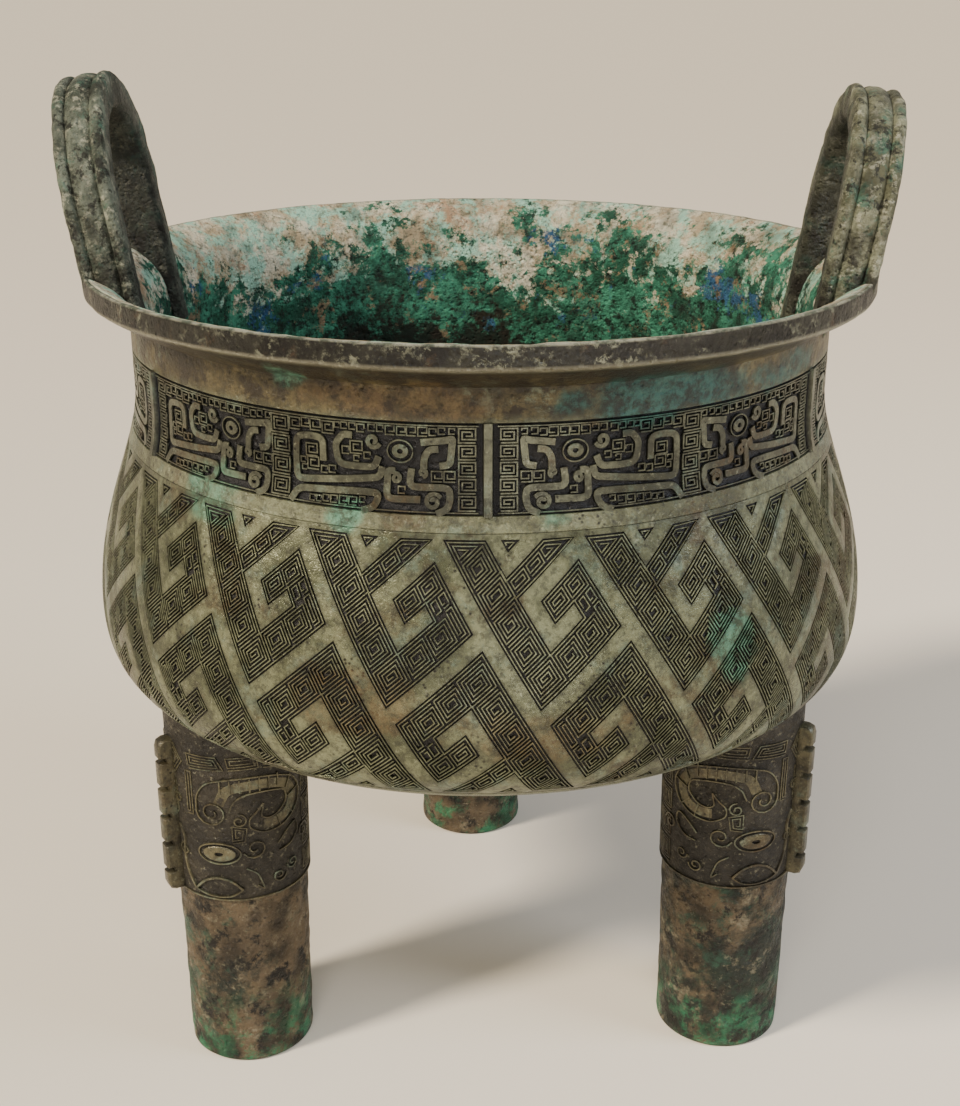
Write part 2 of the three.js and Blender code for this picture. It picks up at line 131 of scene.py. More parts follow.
def crust_noise(points: Array, size: float, seed: int, octaves: int = 4) -> Array:
    """Sum of value noises, each half as large and half as strong as the one before, from 0 to 1.

    Args:
        points: Rows of x, y, z.
        size: Size of the largest features.
        seed: Number that picks the pattern.
        octaves: How many noises are summed.

    Returns:
        One value from 0 to 1 per point.
    """
    weights = 0.5 ** np.arange(octaves)
    layers = [lattice_noise(points, size * w, seed + i) * w for i, w in enumerate(weights)]
    return sum(layers) / weights.sum()


def bezier(corners: Sequence[Sequence[float]], count: int) -> Array:
    """Cubic curve through the first and last corner, pulled towards the two between them.

    Args:
        corners: Four points.
        count: Number of points returned.

    Returns:
        Points along the curve.
    """
    a, b, c, d = spread(corners)
    t = np.linspace(0, 1, count)[:, None]
    return (1 - t) ** 3 * a + 3 * (1 - t) ** 2 * t * b + 3 * (1 - t) * t**2 * c + t**3 * d


def rounded(line: Sequence[Sequence[float]], radius: float, steps: int = 4) -> Array:
    """Bent line with each corner replaced by a quadratic curve that starts and ends a radius away from it.

    Args:
        line: Corners of the line.
        radius: How far from a corner its curve starts, at most 45 percent of the shorter side.
        steps: Spans of each curve.

    Returns:
        Points of the rounded line.
    """
    points = spread(line)
    back, ahead = points[:-2] - points[1:-1], points[2:] - points[1:-1]
    before, after = np.linalg.norm(back, axis=1), np.linalg.norm(ahead, axis=1)
    reach = np.minimum(radius, 0.45 * np.minimum(before, after))
    start = points[1:-1] + back * (reach / before)[:, None]
    end = points[1:-1] + ahead * (reach / after)[:, None]
    t = np.linspace(0, 1, steps + 1)[None, :, None]
    curve = (1 - t) ** 2 * start[:, None] + 2 * (1 - t) * t * points[1:-1, None] + t**2 * end[:, None]
    return np.vstack([points[:1], curve.reshape(-1, 2), points[-1:]])


def polar(azimuth: Array, radius: Array, height: Array) -> Array:
    """Points at an azimuth in radians, a radius and a height."""
    azimuth, radius, height = np.broadcast_arrays(azimuth, radius, height)
    return np.stack([radius * np.cos(azimuth), radius * np.sin(azimuth), height], axis=-1)


# Meshes


@dataclass
class Sheet:
    """Vertices, faces and per-vertex masks on their way into one mesh.

    Attributes:
        points: Rows of x, y, z.
        quads: Rows of four vertex numbers.
        triangles: Rows of three vertex numbers.
        masks: Named values, one per vertex.
    """

    points: Array
    quads: Array = field(default_factory=lambda: np.zeros((0, 4), int))
    triangles: Array = field(default_factory=lambda: np.zeros((0, 3), int))
    masks: dict[str, Array] = field(default_factory=dict)

    @staticmethod
    def join(sheets: Sequence["Sheet"]) -> "Sheet":
        """One sheet that holds all the sheets side by side; a missing mask is 0."""
        starts = np.cumsum([0] + [len(s.points) for s in sheets])
        names = {name for s in sheets for name in s.masks}
        return Sheet(
            np.vstack([s.points for s in sheets]),
            np.vstack([s.quads + start for s, start in zip(sheets, starts)]),
            np.vstack([s.triangles + start for s, start in zip(sheets, starts)]),
            {n: np.concatenate([s.masks.get(n, np.zeros(len(s.points))) for s in sheets]) for n in names},
        )

    def laid(self, place: Place) -> "Sheet":
        """The same sheet with its flat x, y and lift placed on a surface."""
        x, y, lift = self.points.T
        return Sheet(place(x, y, lift), self.quads, self.triangles, self.masks)

    def moved(self, distance: float) -> "Sheet":
        """The sheet moved along x."""
        return Sheet(self.points + spread([1, 0, 0]) * distance, self.quads, self.triangles, self.masks)

    def repeated(self, step: float, count: int) -> "Sheet":
        """Copies of the sheet side by side, a step apart along x."""
        return Sheet.join([self.moved(step * i) for i in range(count)])

    def mirrored(self) -> "Sheet":
        """The sheet with x turned round and its faces still outward."""
        flipped = self.points * spread([-1, 1, 1])
        return Sheet(flipped, self.quads[:, ::-1], self.triangles[:, ::-1], self.masks)

    def welded(self, grid: float = 0.01) -> "Sheet":
        """The sheet with vertices that share a cell of a fine grid made one."""
        keys = np.round(self.points / grid).astype(np.int64)
        _, first, same = np.unique(keys, axis=0, return_index=True, return_inverse=True)
        same = same.reshape(-1)
        return Sheet(
            self.points[first], same[self.quads], same[self.triangles],
            {name: values[first] for name, values in self.masks.items()},
        )

    def to_object(self, name: str, smooth_angle: float) -> bpy.types.Object:
        """Makes the mesh and its object, in metres.

        Args:
            name: Name of the piece.
            smooth_angle: Edges that bend more than this many degrees stay sharp.

        Returns:
            The object, linked to the scene.
        """
        mesh = bpy.data.meshes.new(name)
        loops = np.concatenate([self.quads.ravel(), self.triangles.ravel()]).astype(np.int32)
        sizes = np.concatenate([np.full(len(self.quads), 4), np.full(len(self.triangles), 3)])
        mesh.vertices.add(len(self.points))
        mesh.vertices.foreach_set("co", (self.points * METRES).astype(np.float32).ravel())
        mesh.loops.add(len(loops))
        mesh.loops.foreach_set("vertex_index", loops)
        mesh.polygons.add(len(sizes))
        starts = np.concatenate([[0], np.cumsum(sizes)[:-1]]).astype(np.int32)
        mesh.polygons.foreach_set("loop_start", starts)
        mesh.polygons.foreach_set("use_smooth", np.ones(len(sizes), bool))
        mesh.update(calc_edges=True)
        mesh.set_sharp_from_angle(angle=math.radians(smooth_angle))
        for mask, values in self.masks.items():
            mesh.attributes.new(mask, "FLOAT", "POINT").data.foreach_set("value", values.astype(np.float32))
        piece = bpy.data.objects.new(name, mesh)
        bpy.context.scene.collection.objects.link(piece)
        return piece


def grid_quads(rows: int, columns: int, ring: bool = True) -> Array:
    """Faces of a grid of vertices stored row by row, with the columns closed into a ring if asked.

    Args:
        rows: Number of rows of vertices.
        columns: Number of vertices in a row.
        ring: Whether the last column meets the first.

    Returns:
        Rows of four vertex numbers.
    """
    i, j = np.meshgrid(np.arange(rows - 1), np.arange(columns if ring else columns - 1), indexing="ij")
    ahead = (j + 1) % columns
    return np.stack([i * columns + j, i * columns + ahead, (i + 1) * columns + ahead,
                     (i + 1) * columns + j], axis=-1).reshape(-1, 4)


def fan(ring: Array, hub: int, outward: bool) -> Array:
    """Triangles from a closed ring of vertex numbers to one hub vertex."""
    ahead = np.roll(ring, -1)
    hubs = np.full(len(ring), hub)
    return np.stack([ring, ahead, hubs] if outward else [ahead, ring, hubs], axis=-1)


def mitre(line: Array, closed: bool) -> Array:
    """Sideways direction at each point of a line, long enough to keep a stroke's width round its bends.

    Args:
        line: Points of the line.
        closed: Whether the line runs back to its start.

    Returns:
        Offsets to the left of the line for a half width of 1.
    """
    if closed:
        before, after = line - np.roll(line, 1, axis=0), np.roll(line, -1, axis=0) - line
    else:
        steps = np.diff(line, axis=0)
        before, after = np.vstack([steps[:1], steps]), np.vstack([steps, steps[-1:]])
    before = before / np.linalg.norm(before, axis=1)[:, None]
    after = after / np.linalg.norm(after, axis=1)[:, None]
    left = np.stack([-before[:, 1] - after[:, 1], before[:, 0] + after[:, 0]], axis=-1)
    square = np.maximum((left**2).sum(axis=1), 1.0)
    return 2 * left / square[:, None]


@dataclass(frozen=True)
class Ridge:
    """A raised line of even width with bevelled sides: four rails carried along a flat path.

    Attributes:
        width: Width at the foot.
        top: Lift of the crest.
        foot: Lift of the foot, below the surface it stands on.
        bevel: How far the crest's edges lie inside the foot's.
    """

    width: float
    top: float
    foot: float
    bevel: float = 0.12

    def along(self, line: Sequence[Sequence[float]], closed: bool = False) -> Sheet:
        """Builds the ridge along a flat path.

        Args:
            line: Points of the path.
            closed: Whether the path runs back to its start.

        Returns:
            The ridge, flat, with its crown mask 1 on the crest.
        """
        points = densified(spread(line), 2.5, closed)
        side = mitre(points, closed) * self.width / 2
        crest = mitre(points, closed) * (self.width / 2 - self.bevel)
        count = len(points)
        rails = [points - side, points - crest, points + crest, points + side]
        lifts = [self.foot, self.top, self.top, self.foot]
        rows = np.stack([np.column_stack([r, np.full(count, z)]) for r, z in zip(rails, lifts)], axis=1)
        quads = grid_quads(count + 1 if closed else count, 4) % (4 * count)
        if not closed:
            last = 4 * (count - 1)
            quads = np.vstack([quads, [[3, 2, 1, 0]], [[last, last + 1, last + 2, last + 3]]])
        crown = np.tile([0.0, 1.0, 1.0, 0.0], count)
        return Sheet(rows.reshape(-1, 3), quads[:, ::-1], masks={"crown": crown})


@dataclass(frozen=True)
class Boss:
    """A low round or oval dome with an optional pit, as an eyeball: rings of shrinking size.

    Attributes:
        half_width: Half its width.
        half_height: Half its height.
        top: Lift of its crown.
        foot: Lift of its foot.
        pit: Share of the radius taken by the pit, 0 for none.
        sides: Points around each ring.
    """

    half_width: float
    half_height: float
    top: float
    foot: float
    pit: float = 0.0
    sides: int = 20

    def at(self, centre: Sequence[float]) -> Sheet:
        """Builds the boss around a flat centre.

        Args:
            centre: Flat x and y of its middle.

        Returns:
            The boss, flat, with its crown mask 1 on the dome and 0 in the pit.
        """
        radii = [1.0, 1.0, 0.93, 0.75]
        lifts = [self.foot, self.top - 0.35, self.top - 0.12, self.top]
        crown = [0.0, 0.6, 1.0, 1.0]
        if self.pit:
            radii += [self.pit * 1.15, self.pit * 0.8]
            lifts += [self.top, self.top - 0.6]
            crown += [1.0, 0.0]
        angle = TURN * np.arange(self.sides) / self.sides
        oval = np.stack([self.half_width * np.cos(angle), self.half_height * np.sin(angle)], axis=-1)
        rings = [
            np.column_stack([spread(centre) + r * oval, np.full(self.sides, z)]) for r, z in zip(radii, lifts)
        ]
        hub_low = [*centre, self.foot]
        hub_high = [*centre, lifts[-1]]
        points = np.vstack([*rings, [hub_low], [hub_high]])
        last = np.arange(self.sides) + (len(radii) - 1) * self.sides
        triangles = np.vstack([
            fan(np.arange(self.sides), len(points) - 2, False), fan(last, len(points) - 1, True),
        ])
        masks = {"crown": np.concatenate([np.repeat(crown, self.sides), [0.0, crown[-1]]])}
        return Sheet(points, grid_quads(len(radii), self.sides), triangles, masks)


def square_spiral(outline: Sequence[Sequence[float]], pitch: float) -> Array:
    """Spiral that follows a convex outline inwards: side k is moved in by the pitch once per round, and each
    point is where one moved side meets the next.

    Args:
        outline: Corners of the outline, counter-clockwise.
        pitch: Distance between two rounds.

    Returns:
        Points of the spiral, from the outside in.
    """
    corners = spread(outline)
    along = np.roll(corners, -1, axis=0) - corners
    length = np.linalg.norm(along, axis=1)
    unit = along / length[:, None]
    inward = np.stack([-unit[:, 1], unit[:, 0]], axis=-1)
    area = 0.5 * abs(np.cross(corners, np.roll(corners, -1, axis=0)).sum())
    rounds = 2 * area / length.sum() / pitch
    count = len(corners)
    turn = np.arange(int(max(1.0, rounds) * count) + 1)
    side = turn % count
    base = corners[side] + inward[side] * (pitch * (turn // count))[:, None]
    a, b = base[:-1], base[1:]
    u, v = unit[side[:-1]], unit[side[1:]]
    reach = np.cross(b - a, v) / np.cross(u, v)
    points = a + u * reach[:, None]
    keep = np.concatenate([[True], ((np.diff(points, axis=0) * u[1:]).sum(axis=1) > 0.6 * pitch)])
    ends = np.flatnonzero(~keep)
    return np.vstack([corners[:1], points[: ends[0] if len(ends) else None]])


def shrunk(outline: Sequence[Sequence[float]], gaps: Sequence[float]) -> Array:
    """Convex outline with each side moved inwards by its own gap; corners are where moved sides meet."""
    corners = spread(outline)
    along = np.roll(corners, -1, axis=0) - corners
    unit = along / np.linalg.norm(along, axis=1)[:, None]
    base = corners + np.stack([-unit[:, 1], unit[:, 0]], axis=-1) * spread(gaps)[:, None]
    previous, before = np.roll(base, 1, axis=0), np.roll(unit, 1, axis=0)
    reach = np.cross(base - previous, unit) / np.cross(before, unit)
    return previous + before * reach[:, None]


def curl(centre: Sequence[float], radius: float, turns: float, start: float, way: int = 1) -> Array:
    """Round spiral from the rim inwards: the radius falls evenly with the angle to a fifth of its size.

    Args:
        centre: Middle of the spiral.
        radius: Radius at its outer end.
        turns: Number of rounds.
        start: Angle of the outer end, in degrees.
        way: 1 for counter-clockwise inwards, -1 for clockwise.

    Returns:
        Points along the spiral.
    """
    share = np.linspace(0, 1, max(6, int(14 * turns)))
    angle = math.radians(start) + way * TURN * turns * share
    reach = radius * (1 - 0.8 * share)
    return spread(centre) + np.stack([reach * np.cos(angle), reach * np.sin(angle)], axis=-1)


def inside(outline: Array, points: Array) -> Array:
    """Whether each point lies in a closed outline, by counting the sides that a ray to the right crosses."""
    a, b = outline, np.roll(outline, -1, axis=0)
    x, y = points[:, 0, None], points[:, 1, None]
    over = (a[:, 1] > y) != (b[:, 1] > y)
    with np.errstate(divide="ignore", invalid="ignore"):
        cross = (b[:, 0] - a[:, 0]) * (y - a[:, 1]) / (b[:, 1] - a[:, 1]) + a[:, 0]
    return (over & (x < cross)).sum(axis=1) % 2 == 1


def densified(line: Array, step: float, closed: bool = True) -> Array:
    """Line with points added so that no span is longer than the step; a closed one runs back to its start."""
    starts = line if closed else line[:-1]
    ends = np.roll(line, -1, axis=0) if closed else line[1:]
    counts = np.maximum(1, np.ceil(np.linalg.norm(ends - starts, axis=1) / step)).astype(int)
    parts = [a + (b - a) * np.arange(n)[:, None] / n for a, b, n in zip(starts, ends, counts)]
    return np.vstack(parts if closed else [*parts, line[-1:]])


def triangulated(rings: Sequence[Array], extra: Array, merge: float) -> tuple[Array, Array]:
    """Cuts the plane inside some closed rings into triangles that keep the rings' sides.

    Args:
        rings: Points of each ring.
        extra: More points to use.
        merge: Points closer than this become one.

    Returns:
        The points and the triangles' rows of three point numbers.
    """
    starts = np.cumsum([0] + [len(ring) for ring in rings])
    edges = [
        (start + i, start + (i + 1) % len(ring))
        for ring, start in zip(rings, starts) for i in range(len(ring))
    ]
    result = delaunay_2d_cdt([Vector(p) for p in np.vstack([*rings, extra])], edges, [], 0, merge)
    return spread([tuple(p) for p in result[0]]), spread(result[2]).astype(int)


def turned(points: Array, degrees: float) -> Array:
    """Points turned about the vertical axis."""
    angle = math.radians(degrees)
    x, y, z = points.T
    return np.stack([
        x * math.cos(angle) - y * math.sin(angle), x * math.sin(angle) + y * math.cos(angle), z,
    ], axis=-1)


# Corrosion that lies across several pieces


class Deposit(Enum):
    """Kinds of corrosion, each carried to the materials as a vertex mask."""

    VERDIGRIS = "verdigris"
    TEAL = "teal"
    EARTH = "earth"


@dataclass(frozen=True)
class Patch:
    """An uneven patch of corrosion: a soft oval on the wall, broken up by noise.

    Attributes:
        deposit: What it is made of.
        azimuth: Middle, in degrees around the axis.
        height: Middle, above the feet.
        half_width: Half its width along the wall.
        half_height: Half its height.
        strength: How solid it is.
    """

    deposit: Deposit
    azimuth: float
    height: float
    half_width: float
    half_height: float
    strength: float = 1.0

    def weight(self, points: Array) -> Array:
        """Mask of the patch: 1 - (x/w)^2 - (z/h)^2, plus noise, through a smooth step.

        Args:
            points: Rows of x, y, z.

        Returns:
            Values from 0 to 1.
        """
        radius = np.hypot(points[:, 0], points[:, 1])
        angle = np.arctan2(points[:, 1], points[:, 0]) - math.radians(self.azimuth)
        across = (angle + math.pi) % TURN - math.pi
        rise = points[:, 2] - self.height
        oval = (across * radius / self.half_width) ** 2 + (rise / self.half_height) ** 2
        noise = crust_noise(points, 9.0, 5 + int(self.azimuth)) - 0.5
        return ease(-0.15, 0.55, 1 - oval + 2.2 * noise) * (oval < 2.5) * self.strength


PATCHES = (
    Patch(Deposit.TEAL, 294, 250, 34, 8),
    Patch(Deposit.TEAL, 318, 249, 22, 6, 0.8),
    Patch(Deposit.VERDIGRIS, 249, 219, 6, 6),
    Patch(Deposit.VERDIGRIS, 302, 176, 9, 12, 0.9),
    Patch(Deposit.VERDIGRIS, 226, 216, 12, 10, 0.8),
    Patch(Deposit.VERDIGRIS, 241, 257, 6, 5, 0.8),
    Patch(Deposit.VERDIGRIS, 278, 219, 5, 4, 0.6),
    Patch(Deposit.EARTH, 258, 251, 30, 6, 0.8),
    Patch(Deposit.EARTH, 252, 168, 24, 10, 0.7),
    Patch(Deposit.EARTH, 276, 158, 30, 9, 0.6),
    Patch(Deposit.VERDIGRIS, 60, 200, 24, 18, 0.8),
    Patch(Deposit.TEAL, 110, 170, 30, 16, 0.7),
    Patch(Deposit.EARTH, 150, 190, 26, 20, 0.7),
    Patch(Deposit.VERDIGRIS, 8, 160, 20, 12, 0.7),
)


def deposits(points: Array) -> dict[str, Array]:
    """Masks of all the patches at the points, the strongest of each kind."""
    masks = {kind.value: np.zeros(len(points)) for kind in Deposit}
    for patch in PATCHES:
        masks[patch.deposit.value] = np.maximum(masks[patch.deposit.value], patch.weight(points))
    return masks


# Bowl


@dataclass(frozen=True)
class Wall:
    """Outer wall of the bowl as one profile curve, measured down from under the lip.

    Attributes:
        rim_radius: Radius of the rim.
        rim_height: Height of the rim's top.
        lip_face: Height of the lip's outer face.
        lip_drop: How far the lip's underside slopes down.
        neck_radius: Radius of the straight neck.
        shoulder_height: Where the neck begins to swell.
        belly_radius: Widest radius.
        belly_height: Height of the widest part.
        keel_radius: Radius where the belly's lower turn meets the base.
        keel_height: Height of that turn.
        base_height: Underside of the base on the axis.
        thickness: Thickness of the wall.
    """

    rim_radius: float = 129.9
    rim_height: float = 270.4
    lip_face: float = 7.0
    lip_drop: float = 8.0
    neck_radius: float = 116.0
    shoulder_height: float = 232.0
    belly_radius: float = 132.5
    belly_height: float = 158.0
    keel_radius: float = 99.0
    keel_height: float = 124.0
    base_height: float = 115.0
    thickness: float = 4.5

    @property
    def neck_top(self) -> float:
        """Height of the lip's inner lower edge."""
        return self.rim_height - self.lip_face - self.lip_drop

    def curve(self) -> Array:
        """Radius and height along the wall: a straight neck and three cubic curves, evenly sampled."""
        swell, drop = self.shoulder_height - self.belly_height, self.belly_height - self.keel_height
        out, up, base = 0.8 * (self.belly_radius - self.keel_radius), 0.26 * drop, 0.2 * self.keel_radius
        neck = np.linspace([self.neck_radius, self.neck_top], [self.neck_radius, self.shoulder_height], 60)
        shoulder = bezier([
            (self.neck_radius, self.shoulder_height), (self.neck_radius, self.shoulder_height - 0.27 * swell),
            (self.belly_radius, self.belly_height + 0.43 * swell), (self.belly_radius, self.belly_height),
        ], 400)
        turn = bezier([
            (self.belly_radius, self.belly_height), (self.belly_radius, self.belly_height - 0.53 * drop),
            (self.keel_radius + out, self.keel_height + up), (self.keel_radius, self.keel_height),
        ], 300)
        floor = bezier([
            (self.keel_radius, self.keel_height),
            (self.keel_radius - base, self.keel_height - up * base / out),
            (0.4 * self.keel_radius, self.base_height), (0, self.base_height),
        ], 300)
        return np.vstack([neck, shoulder[1:], turn[1:], floor[1:]])

    def stations(self, distance: Array) -> tuple[Array, Array, Array, Array]:
        """Radius, height and unit tangent at distances down the wall.

        Args:
            distance: Distances from under the lip.

        Returns:
            Radius, height, and the tangent's radial and upward parts.
        """
        curve = self.curve()
        steps = np.diff(curve, axis=0)
        run = np.concatenate([[0], np.cumsum(np.linalg.norm(steps, axis=1))])
        tangent = np.gradient(curve, run, axis=0)
        tangent /= np.linalg.norm(tangent, axis=1)[:, None]
        at = [np.interp(distance, run, values) for values in (*curve.T, *tangent.T)]
        return at[0], at[1], at[2], at[3]

    @property
    def length(self) -> float:
        """Length of the wall's profile, down to the axis."""
        return float(np.linalg.norm(np.diff(self.curve(), axis=0), axis=1).sum())

    def profile(self, distance: Array, lift: Array) -> Array:
        """Radius and height at distances down the wall, lifted along the outward normal."""
        radius, height, out, up = self.stations(distance)
        return np.stack([np.maximum(radius - up * lift, 0), height + out * lift], axis=-1)

    def place(self, azimuth: Array, distance: Array, lift: Array) -> Array:
        """Points at an azimuth in radians and a distance down the wall, lifted along the outward normal."""
        radius, height = self.profile(distance, lift).T
        return polar(azimuth, radius, height)

    def underside(self, radius: Array) -> Array:
        """Height of the wall's outer face below the belly, at a radius."""
        low = self.curve()
        low = low[low[:, 1] <= self.belly_height][::-1]
        return np.interp(radius, low[:, 0], low[:, 1])


@dataclass(frozen=True)
class Zones:
    """Where the two relief bands lie, as distances down the wall, and how deep their ground is.

    Attributes:
        frieze: Start and end of the neck's frieze.
        belt: Start and end of the belly's belt.
        frieze_ground: Lift of the frieze's ground.
        belt_ground: Lift of the belt's ground.
        crest: Lift of the relief's flat tops.
    """

    frieze: tuple[float, float] = (10.0, 36.0)
    belt: tuple[float, float] = (41.0, 123.5)
    frieze_ground: float = -0.95
    belt_ground: float = -0.75
    crest: float = -0.08

    def ground(self, distance: Array) -> Array:
        """Lift of the bare wall: the crest, sunk to the ground of each band through steep steps."""
        lift = np.full(len(distance), self.crest)
        for (start, end), depth in ((self.frieze, self.frieze_ground), (self.belt, self.belt_ground)):
            within = ease(start - 0.15, start + 0.15, distance) * ease(end + 0.15, end - 0.15, distance)
            lift += (depth - self.crest) * within
        return lift

    def within(self, distance: Array) -> tuple[Array, Array]:
        """Masks of the frieze's and the belt's ground."""
        pairs = [
            ease(start - 0.1, start + 0.1, distance) * ease(end + 0.1, end - 0.1, distance)
            for start, end in (self.frieze, self.belt)
        ]
        return pairs[0], pairs[1]


@dataclass(frozen=True)
class Bowl:
    """The bowl as one closed surface of revolution, roughened by corrosion.

    Attributes:
        wall: Profile of the outer wall.
        zones: Where the relief bands lie.
        columns: Points around the axis.
        rim_flat: Width of the flat top edge.
        flare_drop: Depth of the flared mouth.
    """

    wall: Wall
    zones: Zones
    columns: int = 456
    rim_flat: float = 2.5
    flare_drop: float = 22.0

    def outer_rows(self) -> tuple[Array, Array]:
        """Profile of the outer face from the base up to the lip, and the distance of each row."""
        frieze, belt = self.zones.frieze, self.zones.belt
        cuts = np.sort([edge + shift for edge in (*frieze, *belt) for shift in (-0.2, 0.2)])
        marks = np.concatenate([[0], cuts, [145, self.wall.length - 0.5]])
        counts = [7, 1, 15, 1, 3, 1, 46, 1, 14, 18]
        rows = np.concatenate([
            np.linspace(a, b, n, endpoint=False) for a, b, n in zip(marks[:-1], marks[1:], counts)
        ] + [marks[-1:]])[::-1]
        return self.wall.profile(rows, self.zones.ground(rows)), rows

    def lip_rows(self) -> Array:
        """Profile of the lip: underside, rounded lower edge, outer face, rounded top edge and rim."""
        wall = self.wall
        path = rounded([
            (wall.neck_radius, wall.neck_top), (wall.rim_radius, wall.rim_height - wall.lip_face),
            (wall.rim_radius, wall.rim_height), (wall.rim_radius - self.rim_flat, wall.rim_height),
        ], 1.3, 4)
        extra = np.linspace(path[0], path[1], 9)[1:-1]
        face = np.linspace(path[5], path[6], 4)[1:-1]
        return np.vstack([extra, path[1:6], face, path[6:-1]])

    def inner_rows(self) -> Array:
        """Profile of the inside: the flare as a quadratic curve, then the wall's inner face to the axis."""
        wall = self.wall
        mouth = spread([wall.rim_radius - self.rim_flat, wall.rim_height])
        throat = spread([wall.neck_radius - wall.thickness, wall.rim_height - self.flare_drop])
        bend = throat + spread([0.35 * wall.thickness, 0.75 * self.flare_drop])
        t = np.linspace(0, 1, 16)[:, None]
        flare = (1 - t) ** 2 * mouth + 2 * (1 - t) * t * bend + t**2 * throat
        start = wall.neck_top - throat[1]
        rows = np.linspace(start, wall.length - 0.5, 58)[1:]
        return np.vstack([flare, wall.profile(rows, np.full(len(rows), -wall.thickness))])

    def build(self) -> Sheet:
        """Turns the profile round the axis, closes it at both poles, and roughens it with noise.

        Returns:
            The bowl with its zone masks.
        """
        outer, rows = self.outer_rows()
        lip, inner = self.lip_rows(), self.inner_rows()
        profile = np.vstack([outer, lip, inner])
        count = len(profile)
        azimuth = TURN * np.arange(self.columns) / self.columns
        points = polar(azimuth[None, :], profile[:, :1], profile[:, 1:]).reshape(-1, 3)
        zone = {
            "frieze_ground": np.zeros(count), "belt_ground": np.zeros(count), "lip": np.zeros(count),
            "inner": np.zeros(count), "neck": np.zeros(count),
        }
        zone["frieze_ground"][: len(rows)], zone["belt_ground"][: len(rows)] = self.zones.within(rows)
        zone["neck"][: len(rows)] = ease(12, 7, rows)
        zone["neck"][len(rows): len(rows) + 8] = 1
        zone["lip"][len(rows) + 7: len(rows) + len(lip)] = 1
        zone["inner"][len(rows) + len(lip):] = 1
        masks = {name: np.repeat(values, self.columns) for name, values in zone.items()}
        tangent = np.gradient(profile, axis=0)
        normal = np.stack([tangent[:, 1], -tangent[:, 0]], axis=-1)
        normal /= np.linalg.norm(normal, axis=1)[:, None]
        outward = polar(azimuth[None, :], normal[:, :1], normal[:, 1:]).reshape(-1, 3)
        rough = 0.06 + 0.55 * masks["lip"] + 0.9 * masks["inner"]
        rough *= 1 - 0.7 * masks["belt_ground"]
        wear = crust_noise(points, 7.0, 3, 5) ** 1.5
        points = points - outward * (rough * wear)[:, None]
        poles = spread([[0, 0, profile[0, 1]], [0, 0, profile[-1, 1]]])
        points = np.vstack([points, poles])
        size = count * self.columns
        first, last = np.arange(self.columns), np.arange(self.columns) + size - self.columns
        triangles = np.vstack([fan(first, size, False), fan(last, size + 1, True)])
        masks = {name: np.append(values, [values[0], values[-1]]) for name, values in masks.items()}
        masks.update(deposits(points))
        masks["wear"] = np.append(wear, [0.5, 0.5])
        return Sheet(points, grid_quads(count, self.columns), triangles, masks)


# Belt of interlocking hooks on the belly


